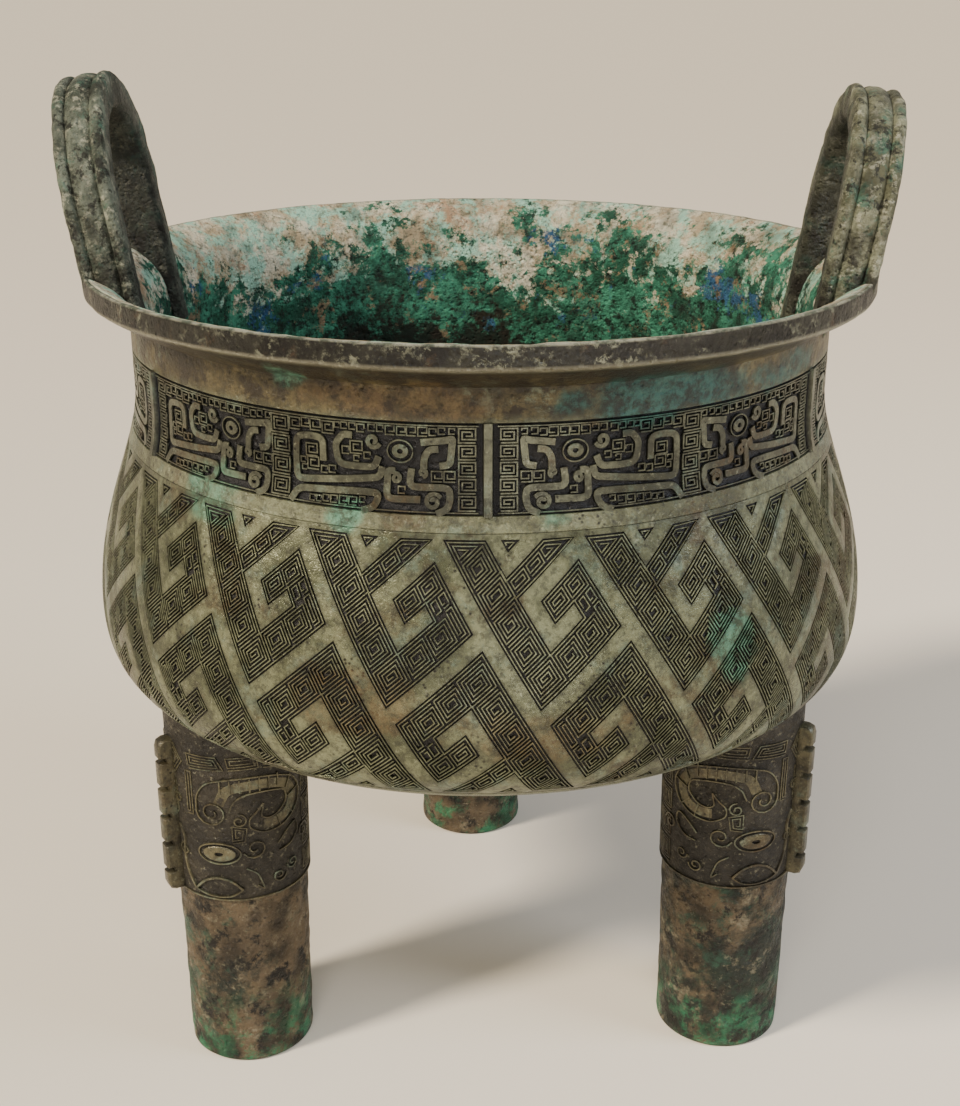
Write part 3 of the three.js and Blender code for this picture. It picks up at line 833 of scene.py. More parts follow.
@dataclass(frozen=True)
class HookBelt:
    """Belt of interlocking hooks: in each repeat a sunk field hangs from the top edge, and the same field
    turned half round stands on the bottom edge. A column runs across the steep bands and a row runs up
    them from the tip of the hanging field, so that x = column + lean * depth and
    depth = tip - row - rise * column.

    Attributes:
        wall: Profile of the wall.
        zones: Where the belt lies.
        repeats: Number of repeats around the belly.
        turn: Degrees from azimuth 270 to the left side of a hook.
        lean: Repeats by which the steep bands move sideways from top to bottom.
        rise: Share of the belt by which the shallow bands climb over one repeat.
        strip, slot, hook, side: Columns of the field's upright sides.
        foot_row, slot_row, hook_row, band_row, branch_row: Rows of its slanting sides.
        gap_row: Row by which the standing field lies below the hanging one.
        edge: Plain edge between the fields and the ends of the belt.
        inset: From a field's outline to the line that borders it.
        pitch: Distance between two lines of a spiral.
        mesh_step: Longest span on the outlines of the plain bands.
    """

    wall: Wall
    zones: Zones
    repeats: int = 19
    turn: float = -7.8
    lean: float = 1.1
    rise: float = 0.315
    strip: float = 0.3
    slot: float = 0.435
    hook: float = 0.643
    side: float = 0.867
    foot_row: float = 0.113
    slot_row: float = 0.161
    hook_row: float = 0.2435
    band_row: float = 0.297
    branch_row: float = 0.370
    gap_row: float = 0.054
    edge: float = 1.6
    inset: float = 0.72
    pitch: float = 1.02
    mesh_step: float = 2.0

    @property
    def step(self) -> float:
        """Length of one repeat at the belly's widest."""
        return TURN * self.wall.belly_radius / self.repeats

    @property
    def width(self) -> float:
        """Width of the belt down the wall."""
        return self.zones.belt[1] - self.zones.belt[0]

    @property
    def tip(self) -> float:
        """Depth of the hanging field's lowest point, as a share of the belt."""
        return (1 + self.rise * self.side - self.gap_row) / 2

    def flat(self, cells: Sequence[Sequence[float]]) -> Array:
        """Flat x and y of points given as column and row."""
        column, row = spread(cells).T
        depth = self.tip - row - self.rise * column
        return np.stack([
            self.step * (column + self.lean * depth), -self.zones.belt[0] - self.width * depth,
        ], axis=-1)

    def half_turned(self, cells: Sequence[Sequence[float]]) -> list[tuple[float, float]]:
        """The same cells for the standing field, turned half round."""
        return [(self.side - column, -self.gap_row - row) for column, row in cells]

    def top_at(self, column: float) -> tuple[float, float]:
        """Where a column meets the belt's plain edge."""
        return column, self.tip - self.edge / self.width - self.rise * column

    def edge_at(self, row: float) -> tuple[float, float]:
        """Where a row meets the belt's plain edge."""
        return (self.tip - self.edge / self.width - row) / self.rise, row

    def field_outline(self) -> list[tuple[float, float]]:
        """Corners of the hanging field."""
        return [
            (0, 0), (self.side, 0), (self.side, self.hook_row), (self.slot, self.hook_row),
            (self.slot, self.slot_row), (self.hook, self.slot_row), (self.hook, self.foot_row),
            (self.strip, self.foot_row), (self.strip, self.band_row), self.edge_at(self.band_row),
            self.edge_at(self.branch_row), (self.strip, self.branch_row), self.top_at(self.strip),
            self.top_at(0),
        ]

    def small_triangle(self) -> list[tuple[float, float]]:
        """Corners of the small triangle beside the branch."""
        column, row = 0.405, self.branch_row + 0.05
        return [(column, row), self.edge_at(row), self.top_at(column)]

    def spiral_cells(self) -> list[list[tuple[float, float]]]:
        """Outlines of the cells that the spirals fill, as columns and rows."""
        def block(left: float, right: float, low: float, high: float) -> list[tuple[float, float]]:
            return [(left, low), (right, low), (right, high), (left, high)]

        top = self.top_at(self.strip)[1]
        rows = np.linspace(self.foot_row, top, 5)
        narrow = self.side - 0.115
        middle = (self.strip + narrow) / 2
        branch = [self.strip, self.strip + 0.165, self.strip + 0.33]
        return [
            block(0, self.strip, 0, self.foot_row),
            *[block(0, self.strip, low, high) for low, high in zip(rows[:-1], rows[1:])],
            [(0, top), (self.strip, top), self.top_at(0)],
            block(self.strip, middle, 0, self.foot_row), block(middle, narrow, 0, self.foot_row),
            block(narrow, self.side, 0, self.foot_row),
            block(self.hook, narrow, self.foot_row, self.slot_row),
            block(narrow, self.side, self.foot_row, self.slot_row),
            block(self.hook, self.side, self.slot_row, self.hook_row),
            block(self.slot, self.hook, self.slot_row, self.hook_row),
            *[block(a, b, self.band_row, self.branch_row) for a, b in zip(branch[:-1], branch[1:])],
            [(branch[-1], self.band_row), self.edge_at(self.band_row), self.edge_at(self.branch_row),
             (branch[-1], self.branch_row)],
        ]

    def lay(self, x: Array, y: Array, lift: Array) -> Array:
        """Place on the wall of the belt's flat x and y."""
        azimuth = math.radians(270 + self.turn) + x / self.step * TURN / self.repeats
        return self.wall.place(azimuth, -y, lift)

    def spirals(self) -> Sheet:
        """Raised spirals and border lines of all the fields.

        Returns:
            The lines, laid on the wall.
        """
        ridge = Ridge(0.5, self.zones.crest - 0.04, self.zones.belt_ground - 0.3, 0.1)
        lines = []
        for turned in (False, True):
            def cast(cells: Sequence[Sequence[float]], turned: bool = turned) -> Array:
                return self.flat(self.half_turned(cells) if turned else cells)

            outline = cast(self.field_outline())
            lines.append(ridge.along(outline + mitre(outline, True) * self.inset, closed=True))
            small = cast(self.small_triangle())
            for corners in (small, *[cast(cell) for cell in self.spiral_cells()]):
                whole, spare = (small, 0.0) if corners is small else (outline, self.pitch)
                mid = (corners + np.roll(corners, -1, axis=0)) / 2
                along = np.roll(corners, -1, axis=0) - corners
                outer = np.stack([along[:, 1], -along[:, 0]], axis=-1)
                outer /= np.linalg.norm(outer, axis=1)[:, None]
                shared = inside(whole, mid + outer * 0.5)
                gaps = np.where(shared, self.pitch / 2, self.inset + spare)
                lines.append(ridge.along(square_spiral(shrunk(corners, gaps), self.pitch)))
        return Sheet.join(lines).repeated(self.step, self.repeats).laid(self.lay)

    def cell_border(self) -> tuple[Array, Array]:
        """Right and left sides of one repeat, from top to bottom, clear of its fields."""
        seam, swing = (1 + self.side) / 2, 0.0425
        ends = spread([[seam + swing, 0], [seam - swing, 1]])
        right = np.stack([
            self.step * (ends[:, 0] + self.lean * ends[:, 1]), -self.zones.belt[0] - self.width * ends[:, 1],
        ], axis=-1)
        return right, right - spread([self.step, 0])

    def bands(self) -> Sheet:
        """Plain bands between the fields: one repeat is cut into triangles around its fields, given a foot
        and side walls, and repeated around the belly.

        Returns:
            The bands, laid on the wall and welded.
        """
        right, left = self.cell_border()
        border = densified(np.vstack([right, left[::-1]]), self.mesh_step)
        holes = [
            densified(self.flat(cells), self.mesh_step)
            for base in (self.field_outline(), self.small_triangle())
            for cells in (base, self.half_turned(base))
        ]
        outline = np.vstack([border, *holes])
        low, high = border.min(axis=0), border.max(axis=0)
        x, y = np.meshgrid(np.arange(low[0], high[0], 1.9), np.arange(low[1], high[1], 1.7))
        x[1::2] += 0.95
        fill = np.stack([x.ravel(), y.ravel()], axis=-1)
        near = np.linalg.norm(fill[:, None] - outline[None], axis=2).min(axis=1)
        fill = fill[(near > 0.95) & inside(border, fill)]
        fill = fill[~np.any([inside(hole, fill) for hole in holes], axis=0)]
        points, faces = triangulated([border, *holes], fill, 1e-5)
        middle = points[faces].mean(axis=1)
        kept = inside(border, middle) & ~np.any([inside(hole, middle) for hole in holes], axis=0)
        a, b, c = points[faces].transpose(1, 0, 2)
        faces = faces[kept & (np.abs(np.cross(b - a, c - a)) > 0.02)]
        sides = np.vstack([faces[:, [0, 1]], faces[:, [1, 2]], faces[:, [2, 0]]])
        keys = sides[:, 0] * len(points) + sides[:, 1]
        back = sides[:, 1] * len(points) + sides[:, 0]
        rim = sides[~np.isin(keys, back)]

        def on_seam(start: Array, end: Array) -> Array:
            across = np.cross(end - start, points[rim] - start) / np.linalg.norm(end - start)
            return (np.abs(across) < 0.01).all(axis=1)

        rim = rim[~(on_seam(*right) | on_seam(*left))]
        edge = np.zeros(len(points), bool)
        edge[rim] = True
        top = np.where(edge, self.zones.crest - 0.13, self.zones.crest)
        count = len(points)
        foot = np.full(count, self.zones.belt_ground - 0.4)
        both = np.vstack([np.column_stack([points, top]), np.column_stack([points, foot])])
        walls = np.stack([rim[:, 0] + count, rim[:, 1] + count, rim[:, 1], rim[:, 0]], axis=-1)
        crown = np.concatenate([np.where(edge, 0.75, 1.0), np.zeros(count)])
        cell = Sheet(both, walls, np.vstack([faces, faces[:, ::-1] + count]), {"crown": crown})
        used = np.unique(np.concatenate([cell.quads.ravel(), cell.triangles.ravel()]))
        renumber = np.full(len(both), -1)
        renumber[used] = np.arange(len(used))
        cell = Sheet(both[used], renumber[cell.quads], renumber[cell.triangles], {"crown": crown[used]})
        return cell.repeated(self.step, self.repeats).laid(self.lay).welded()


# Frieze of dragons on the neck


@dataclass(frozen=True)
class Dragon:
    """One dragon of the frieze, drawn in small steps from its snout and from the frieze's top edge.

    Attributes:
        length: Length from snout to tail.
        across: Steps along the length.
        down: Steps across the frieze.
        body: Ridge of its limbs.
        line: Ridge of its fine lines and of the spirals around it.
        largest, smallest: Half widths of the largest and the smallest of these spirals.
    """

    length: float
    across: float = 978.0
    down: float = 520.0
    body: Ridge = Ridge(2.3, -0.08, -1.3, 0.18)
    line: Ridge = Ridge(0.56, -0.12, -1.3, 0.1)
    largest: float = 1.75
    smallest: float = 0.72

    LIMBS = (
        ((188, 112), (40, 95), (8, 85), (24, 235), (83, 244)),
        ((88, 146), (140, 150), (170, 200), (172, 262)),
        ((410, 262), (425, 325), (640, 352), (940, 382), (945, 260), (938, 135), (850, 122), (768, 130),
         (768, 262)),
        ((528, 520), (452, 492), (425, 412), (560, 412), (928, 432), (975, 510)),
        ((240, 262), (256, 366), (60, 366), (30, 374), (22, 420), (36, 485), (100, 512)),
        ((335, 282), (378, 280), (386, 440), (190, 436)),
        ((430, 205), (455, 268), (560, 272), (672, 268), (690, 150), (640, 92), (585, 96)),
    )
    CURLS = (
        ((462, 118), 44, 1.2, 200, 1), ((118, 446), 50, 1.4, 150, -1), ((332, 322), 30, 1.1, 60, 1),
        ((178, 285), 24, 1.1, 270, -1),
    )

    def flat(self, steps: Sequence[Sequence[float]], top: float, height: float) -> Array:
        """Flat x and y of points given in steps."""
        x, y = spread(steps).T
        return np.stack([x * self.length / self.across, -top - y * height / self.down], axis=-1)

    def ground_spirals(self, drawn: Array, top: float, height: float) -> list[Sheet]:
        """Square spirals on the ground that the limbs leave free, the largest first.

        The room of a place is the larger of its distances across and down to the nearest drawn point, spiral
        or edge, less that one's half width. The place with the most room is filled until none is left.

        Args:
            drawn: Points along everything that is drawn so far.
            top: Distance of the frieze's top edge down the wall.
            height: Width of the frieze.

        Returns:
            The spirals.
        """
        across, down = np.meshgrid(
            np.arange(0.3, self.length, 0.35), np.arange(top + 1.5, top + height - 1.3, 0.35))
        places = np.column_stack([across.ravel(), -down.ravel()])
        room = np.abs(places[:, None] - drawn[None]).max(axis=2).min(axis=1) - self.body.width / 2 - 0.3
        edge = np.minimum(-places[:, 1] - top, places[:, 1] + top + height) - 1.3
        sides = np.minimum(places[:, 0], self.length - places[:, 0]) + 0.2
        room = np.minimum.reduce([room, edge, sides, np.full(len(places), self.largest)])
        made = []
        while room.max() > self.smallest:
            best = int(np.argmax(room))
            corners = places[best] + room[best] * spread([[-1, -1], [1, -1], [1, 1], [-1, 1]])
            made.append(self.line.along(square_spiral(corners, 0.92)))
            room = np.minimum(room, np.abs(places - places[best]).max(axis=1) - room[best] - 0.32)
        return made

    def build(self, top: float, height: float) -> Sheet:
        """Limbs, curls, the eye and the square spirals around them.

        Args:
            top: Distance of the frieze's top edge down the wall.
            height: Width of the frieze.

        Returns:
            The dragon, flat, with its snout at x = 0.
        """
        limbs = [rounded(self.flat(line, top, height), 2.2) for line in self.LIMBS]
        scale = self.length / self.across
        curls = [
            curl(self.flat([centre], top, height)[0], radius * scale, turns, start, way)
            for centre, radius, turns, start, way in self.CURLS
        ]
        eye = self.flat([(306, 168)], top, height)[0]
        ring = TURN * np.arange(24) / 24
        rim = eye + np.stack([3.6 * np.cos(ring), 3.2 * np.sin(ring)], axis=-1)
        pupil = eye + 0.5 * (rim - eye)
        drawn = np.vstack([densified(line, 0.5, closed=False) for line in (*limbs, *curls, rim, pupil)])
        return Sheet.join([
            *(self.body.along(line) for line in limbs),
            *(Ridge(1.5, -0.08, -1.3, 0.15).along(line) for line in curls),
            Boss(2.45, 2.1, -0.05, -1.3, 0.3).at(eye),
            self.line.along(rim, True),
            *self.ground_spirals(drawn, top, height),
        ])


@dataclass(frozen=True)
class Frieze:
    """Frieze on the neck: low bars part it in six, and two dragons lie on either side of every other bar.

    Attributes:
        wall: Profile of the wall.
        zones: Where the frieze lies.
        panels: Number of panels.
        turn: Degrees from azimuth 270 to the middle of the first panel.
        dragon_length: Length of a dragon.
        gap: Ground between the two dragons of a half panel.
        bar_width: Width of a low bar.
    """

    wall: Wall
    zones: Zones
    panels: int = 3
    turn: float = -1.4
    dragon_length: float = 48.0
    gap: float = 7.0
    bar_width: float = 3.2

    def lay(self, x: Array, y: Array, lift: Array) -> Array:
        """Place on the wall of the frieze's flat x and y."""
        azimuth = math.radians(270 + self.turn) + x / self.wall.neck_radius
        return self.wall.place(azimuth, -y, lift)

    def column_of_squares(self, x: float, half_width: float, count: int) -> Sheet:
        """Square spirals stacked from the top of the frieze to its bottom."""
        start, end = self.zones.frieze
        line = Ridge(0.62, -0.12, -1.3, 0.1)
        bounds = np.linspace(start + 1.0, end - 1.0, count + 1)
        return Sheet.join([
            line.along(square_spiral([
                (x - half_width, -low + 0.4), (x + half_width, -low + 0.4),
                (x + half_width, -high - 0.4), (x - half_width, -high - 0.4),
            ], 0.95)) for high, low in zip(bounds[:-1], bounds[1:])
        ])

    def half(self) -> Sheet:
        """Everything to the right of a panel's middle."""
        start, end = self.zones.frieze
        panel = TURN * self.wall.neck_radius / self.panels
        near = panel / 4 - self.dragon_length - self.gap / 2
        dragon = Dragon(self.dragon_length).build(start, end - start)
        line = Ridge(0.5, -0.12, -1.3, 0.08)
        end_column = (self.bar_width / 2 + near) / 2 + 0.3
        return Sheet.join([
            dragon.moved(near),
            dragon.moved(near + self.dragon_length + self.gap),
            self.column_of_squares(end_column, 2.3, 5),
            self.column_of_squares(near + self.dragon_length + self.gap / 2, 2.9, 4),
            self.column_of_squares(panel / 2 - end_column, 2.3, 5),
            line.along([(self.bar_width / 2 + 1, -start - 0.75), (panel / 2, -start - 0.75)]),
            line.along([(self.bar_width / 2 + 1, -end + 0.75), (panel / 2, -end + 0.75)]),
        ])

    def build(self) -> Sheet:
        """The whole frieze.

        Returns:
            The relief, laid on the wall.
        """
        start, end = self.zones.frieze
        right = self.half()
        bar = Ridge(self.bar_width, 1.1, -1.3, 0.5).along([(0, -start + 0.3), (0, -end - 0.3)])
        pitch = TURN * self.wall.neck_radius / self.panels
        dragons = Sheet.join([right, right.mirrored()]).repeated(pitch, self.panels)
        return Sheet.join([dragons, bar.repeated(pitch / 2, 2 * self.panels)]).laid(self.lay)


# Legs


@dataclass(frozen=True)
class Leg:
    """A round column that ends inside the bowl's wall, with a mask and a notched flange on its upper half.

    Attributes:
        wall: Profile of the wall it carries.
        azimuth: Degrees around the bowl's axis.
        circle: From the bowl's axis to the leg's.
        foot_radius: Radius at the foot.
        top_radius: Radius at the top.
        top_height: Height where the top radius is reached.
        mask_bottom: Height of the line that closes the mask.
        mask_step: How far the masked part stands above the shaft.
        flange_bottom, flange_top: Heights of the flange.
        flange_proud: How far the flange stands out.
        flange_width: Thickness of the flange.
        notches: Number of slits in the flange.
        columns: Points around the leg.
    """

    wall: Wall
    azimuth: float
    circle: float = 98.0
    foot_radius: float = 21.95
    top_radius: float = 23.2
    top_height: float = 141.0
    mask_bottom: float = 67.0
    mask_step: float = 0.5
    flange_bottom: float = 67.0
    flange_top: float = 124.0
    flange_proud: float = 4.9
    flange_width: float = 5.0
    notches: int = 5
    columns: int = 132

    def radius(self, height: Array) -> Array:
        """Radius of the plain shaft, evenly growing from foot to top."""
        return self.foot_radius + (self.top_radius - self.foot_radius) * height / self.top_height

    def stand(self, points: Array) -> Array:
        """Moves points from the leg's own axis to its place under the bowl."""
        return turned(points + spread([self.circle, 0, 0]), self.azimuth)

    def lay(self, x: Array, y: Array, lift: Array) -> Array:
        """Place on the leg of flat x, measured around it from the flange, and height y."""
        return self.stand(polar(x / self.foot_radius, self.radius(y) + lift, y))

    def shaft(self) -> Sheet:
        """The column: rings of one radius each, whose top ring follows the bowl's wall, worn by corrosion."""
        angle = TURN * np.arange(self.columns) / self.columns
        heights = np.concatenate([
            [0, 0, 0.5, 1.5], np.linspace(3, self.mask_bottom - 0.3, 40), [self.mask_bottom + 0.2],
            np.linspace(self.mask_bottom + 1.5, self.top_height, 46),
        ])
        reach = self.radius(heights) + self.mask_step * (heights > self.mask_bottom)
        reach[:3] -= [1.9, 1.2, 0.45]
        ring = polar(angle[None, :], reach[:, None], heights[:, None])
        plan = self.stand(ring.reshape(-1, 3))
        limit = self.wall.underside(np.hypot(plan[:, 0], plan[:, 1])) + 1.6
        flat = ring.reshape(-1, 3)
        flat[:, 2] = np.minimum(flat[:, 2], limit)
        low = ease(80, 50, flat[:, 2])
        wear = crust_noise(self.stand(flat), 6.0, int(self.azimuth), 5)
        depth = (0.25 + 1.1 * low) * wear**1.4 * ease(0.0, 2.0, flat[:, 2])
        flat[:, :2] *= (1 - depth / np.maximum(np.hypot(flat[:, 0], flat[:, 1]), 1))[:, None]
        points = self.stand(flat)
        crown = float(self.wall.underside(spread(self.circle))) + 1.6
        hubs = self.stand(spread([[0, 0, 0], [0, 0, crown]]))
        size = len(points)
        points = np.vstack([points, hubs])
        triangles = np.vstack([
            fan(np.arange(self.columns), size, False),
            fan(np.arange(self.columns) + size - self.columns, size + 1, True),
        ])
        masks = {
            "wear": np.append(wear, [0.5, 0.5]),
            "mask_ground": np.append(ease(66.6, 67.2, flat[:, 2]), [0.0, 1.0]),
            "foot": np.append(ease(34, 6, flat[:, 2]), [1.0, 0.0]),
        }
        return Sheet(points, grid_quads(len(heights), self.columns), triangles, masks)

    def flange(self) -> Sheet:
        """The flange: its notched outline carried across its thickness through four layers, the outer two
        drawn in for a soft edge."""
        root, edge = self.foot_radius - 3, self.top_radius + self.flange_proud
        pitch = (self.flange_top - self.flange_bottom) / (self.notches + 0.5)
        middles = self.flange_bottom + pitch * (np.arange(self.notches) + 0.75)
        teeth = [
            (edge - inset, middle + rise) for middle in middles
            for inset, rise in ((0.0, -1.1), (0.5, -0.75), (2.5, -0.6), (2.5, 0.6), (0.5, 0.75), (0.0, 1.1))
        ]
        lower = [(root, self.flange_bottom), (edge - 2.5, self.flange_bottom),
                 (edge - 0.7, self.flange_bottom + 0.8), (edge, self.flange_bottom + 2.8)]
        upper = [(edge, self.flange_top - 2.8), (edge - 0.7, self.flange_top - 0.8),
                 (edge - 2.5, self.flange_top), (root, self.flange_top)]
        outline = densified(spread([*lower, *teeth, *upper]), 3.0)
        inward = mitre(outline, True)
        layers = [(0.55, -0.5), (0.0, -0.36), (0.0, 0.36), (0.55, 0.5)]
        rows = [outline + inward * inset for inset, _ in layers]
        points = np.vstack([
            np.column_stack([row[:, 0], np.full(len(row), share * self.flange_width), row[:, 1]])
            for row, (_, share) in zip(rows, layers)
        ])
        count = len(outline)
        _, faces = triangulated(rows[:1], np.zeros((0, 2)), 1e-6)
        middle = rows[0][faces].mean(axis=1)
        faces = faces[inside(rows[0], middle)]
        triangles = np.vstack([faces, faces[:, ::-1] + 3 * count])
        crown = np.full(len(points), 0.8)
        return Sheet(self.stand(points), grid_quads(4, count)[:, ::-1], triangles, {"crown": crown})

    def mask_side(self) -> Sheet:
        """One half of the mask: horn, eye, snout, jaw, swirls and square spirals, drawn in degrees from the
        flange and in height."""
        def flat(points: Sequence[Sequence[float]]) -> Array:
            degrees, height = spread(points).T
            return np.stack([np.radians(degrees) * self.foot_radius, height], axis=-1)

        def bent(points: Sequence[Sequence[float]], radius: float = 4.0) -> Array:
            return rounded(flat(points), radius, 5)

        def swirl(degrees: float, height: float, radius: float, start: float, way: int = 1) -> Sheet:
            return thin.along(curl(flat([(degrees, height)])[0], radius, 1.35, start, way))

        thick, thin = Ridge(1.5, 1.0, -0.6, 0.4), Ridge(0.85, 0.9, -0.6, 0.22)
        low, fine = Ridge(4.4, 0.5, -0.6, 0.5), Ridge(0.5, 0.72, -0.6, 0.1)
        oval = TURN * np.arange(28) / 28
        ring = np.stack([np.cos(oval), np.sin(oval)], axis=-1)
        eye = flat([(48, 85.5)])[0]
        parts = [
            low.along(bent([(50, 104), (56, 109.6), (74, 110.9), (93, 110.4), (110, 107.6), (116.5, 102.5),
                            (111, 97.3), (98, 95.2), (86, 95.4)])),
            thin.along(bent([(30.5, 101), (31, 107), (40, 112), (57, 113.6), (80, 113.8), (97, 112.8),
                             (117, 109.4), (125, 103), (119, 96.8), (104, 92.9), (86, 92.2), (74, 95),
                             (74, 98.4), (81, 100.6), (86.5, 103.4)])),
            thin.along(bent([(86.5, 103.4), (84, 98.6), (90, 97.4), (99, 98.2), (108.5, 102), (106.5, 106.2),
                             (90, 107.9), (73, 107.8), (62.5, 105.6), (58.5, 101.5)])),
            thin.along(curl(flat([(44, 101)])[0], 5.2, 1.6, 180)),
            Boss(5.4, 2.9, 1.15, -0.6, 0.24).at(eye),
            thin.along(eye + ring * spread([6.9, 3.9]), closed=True),
            thick.along(bent([(24, 70.2), (34, 74.6), (46, 76.4), (58, 75), (66, 71.4)])),
            thin.along(bent([(24, 70.2), (35, 68.9), (47, 68.5), (58, 69.1), (66, 71.4)])),
            thick.along(bent([(9, 93), (15, 89), (13, 81), (17, 75), (24, 70.2)])),
            thin.along(bent([(98, 86.6), (107, 90.4), (118, 92.6), (121, 88.4), (111, 84.2), (99, 83.6)])),
            thin.along(bent([(70, 79.6), (79, 77.4), (84.5, 70.4), (78.5, 72.6)])),
            swirl(78, 87, 4.0, 200), swirl(14, 84, 2.4, 90), swirl(98, 74.2, 2.6, 0, -1),
            swirl(112, 77, 2.4, 180), swirl(10, 103, 2.6, 270, -1), swirl(66, 98, 2.6, 90, -1),
            swirl(128, 86, 3.0, 0),
        ]
        parts += [thin.along(flat([(d, 108.4), (d, 113.2)])) for d in (52, 60, 68, 76, 84, 92, 100)]
        parts += [
            thin.along(flat([(108, 106.2), (113, 110.6)])), thin.along(flat([(109.5, 102.8), (122, 104.5)])),
            thin.along(flat([(106, 99.4), (115, 95.6)])), thin.along(flat([(98, 97.8), (101, 93.4)])),
        ]
        cells = [
            [(-3, 117.7), (7.5, 112.2), (18, 117.7), (7.5, 123)],
            [(21.5, 99), (27, 99), (27, 115), (21.5, 115)],
            [(26, 116.4), (56, 117), (50, 121.6), (24, 121.6)],
            [(60, 117), (84, 117), (82, 121.4), (58, 121.4)],
            [(88, 116.6), (112, 114.4), (112, 121), (88, 121)],
            [(3.5, 95), (9, 98), (9, 110), (3.5, 106)],
            [(60, 89.6), (70, 90), (72, 95), (60, 96)],
        ]
        for degrees in (136, 154, 171):
            for height in (74, 84, 94, 104, 114):
                cells.append([(degrees - 7.5, height - 4.2), (degrees + 7.5, height - 4.2),
                              (degrees + 7.5, height + 4.2), (degrees - 7.5, height + 4.2)])
        parts += [fine.along(square_spiral(flat(cell), 1.0)) for cell in cells]
        return Sheet.join(parts)

    def mask(self) -> Sheet:
        """Both halves of the mask and the ridge that closes it below."""
        half = self.mask_side()
        around = np.radians(np.arange(0, 360, 6)) * self.foot_radius
        line = np.column_stack([around, np.full(len(around), self.mask_bottom + 0.5)])
        line = np.vstack([line, [[TURN * self.foot_radius, line[0, 1]]]])
        closing = Ridge(1.1, 0.75, -0.6, 0.3).along(line)
        return Sheet.join([half, half.mirrored(), closing]).laid(self.lay)


# Handles


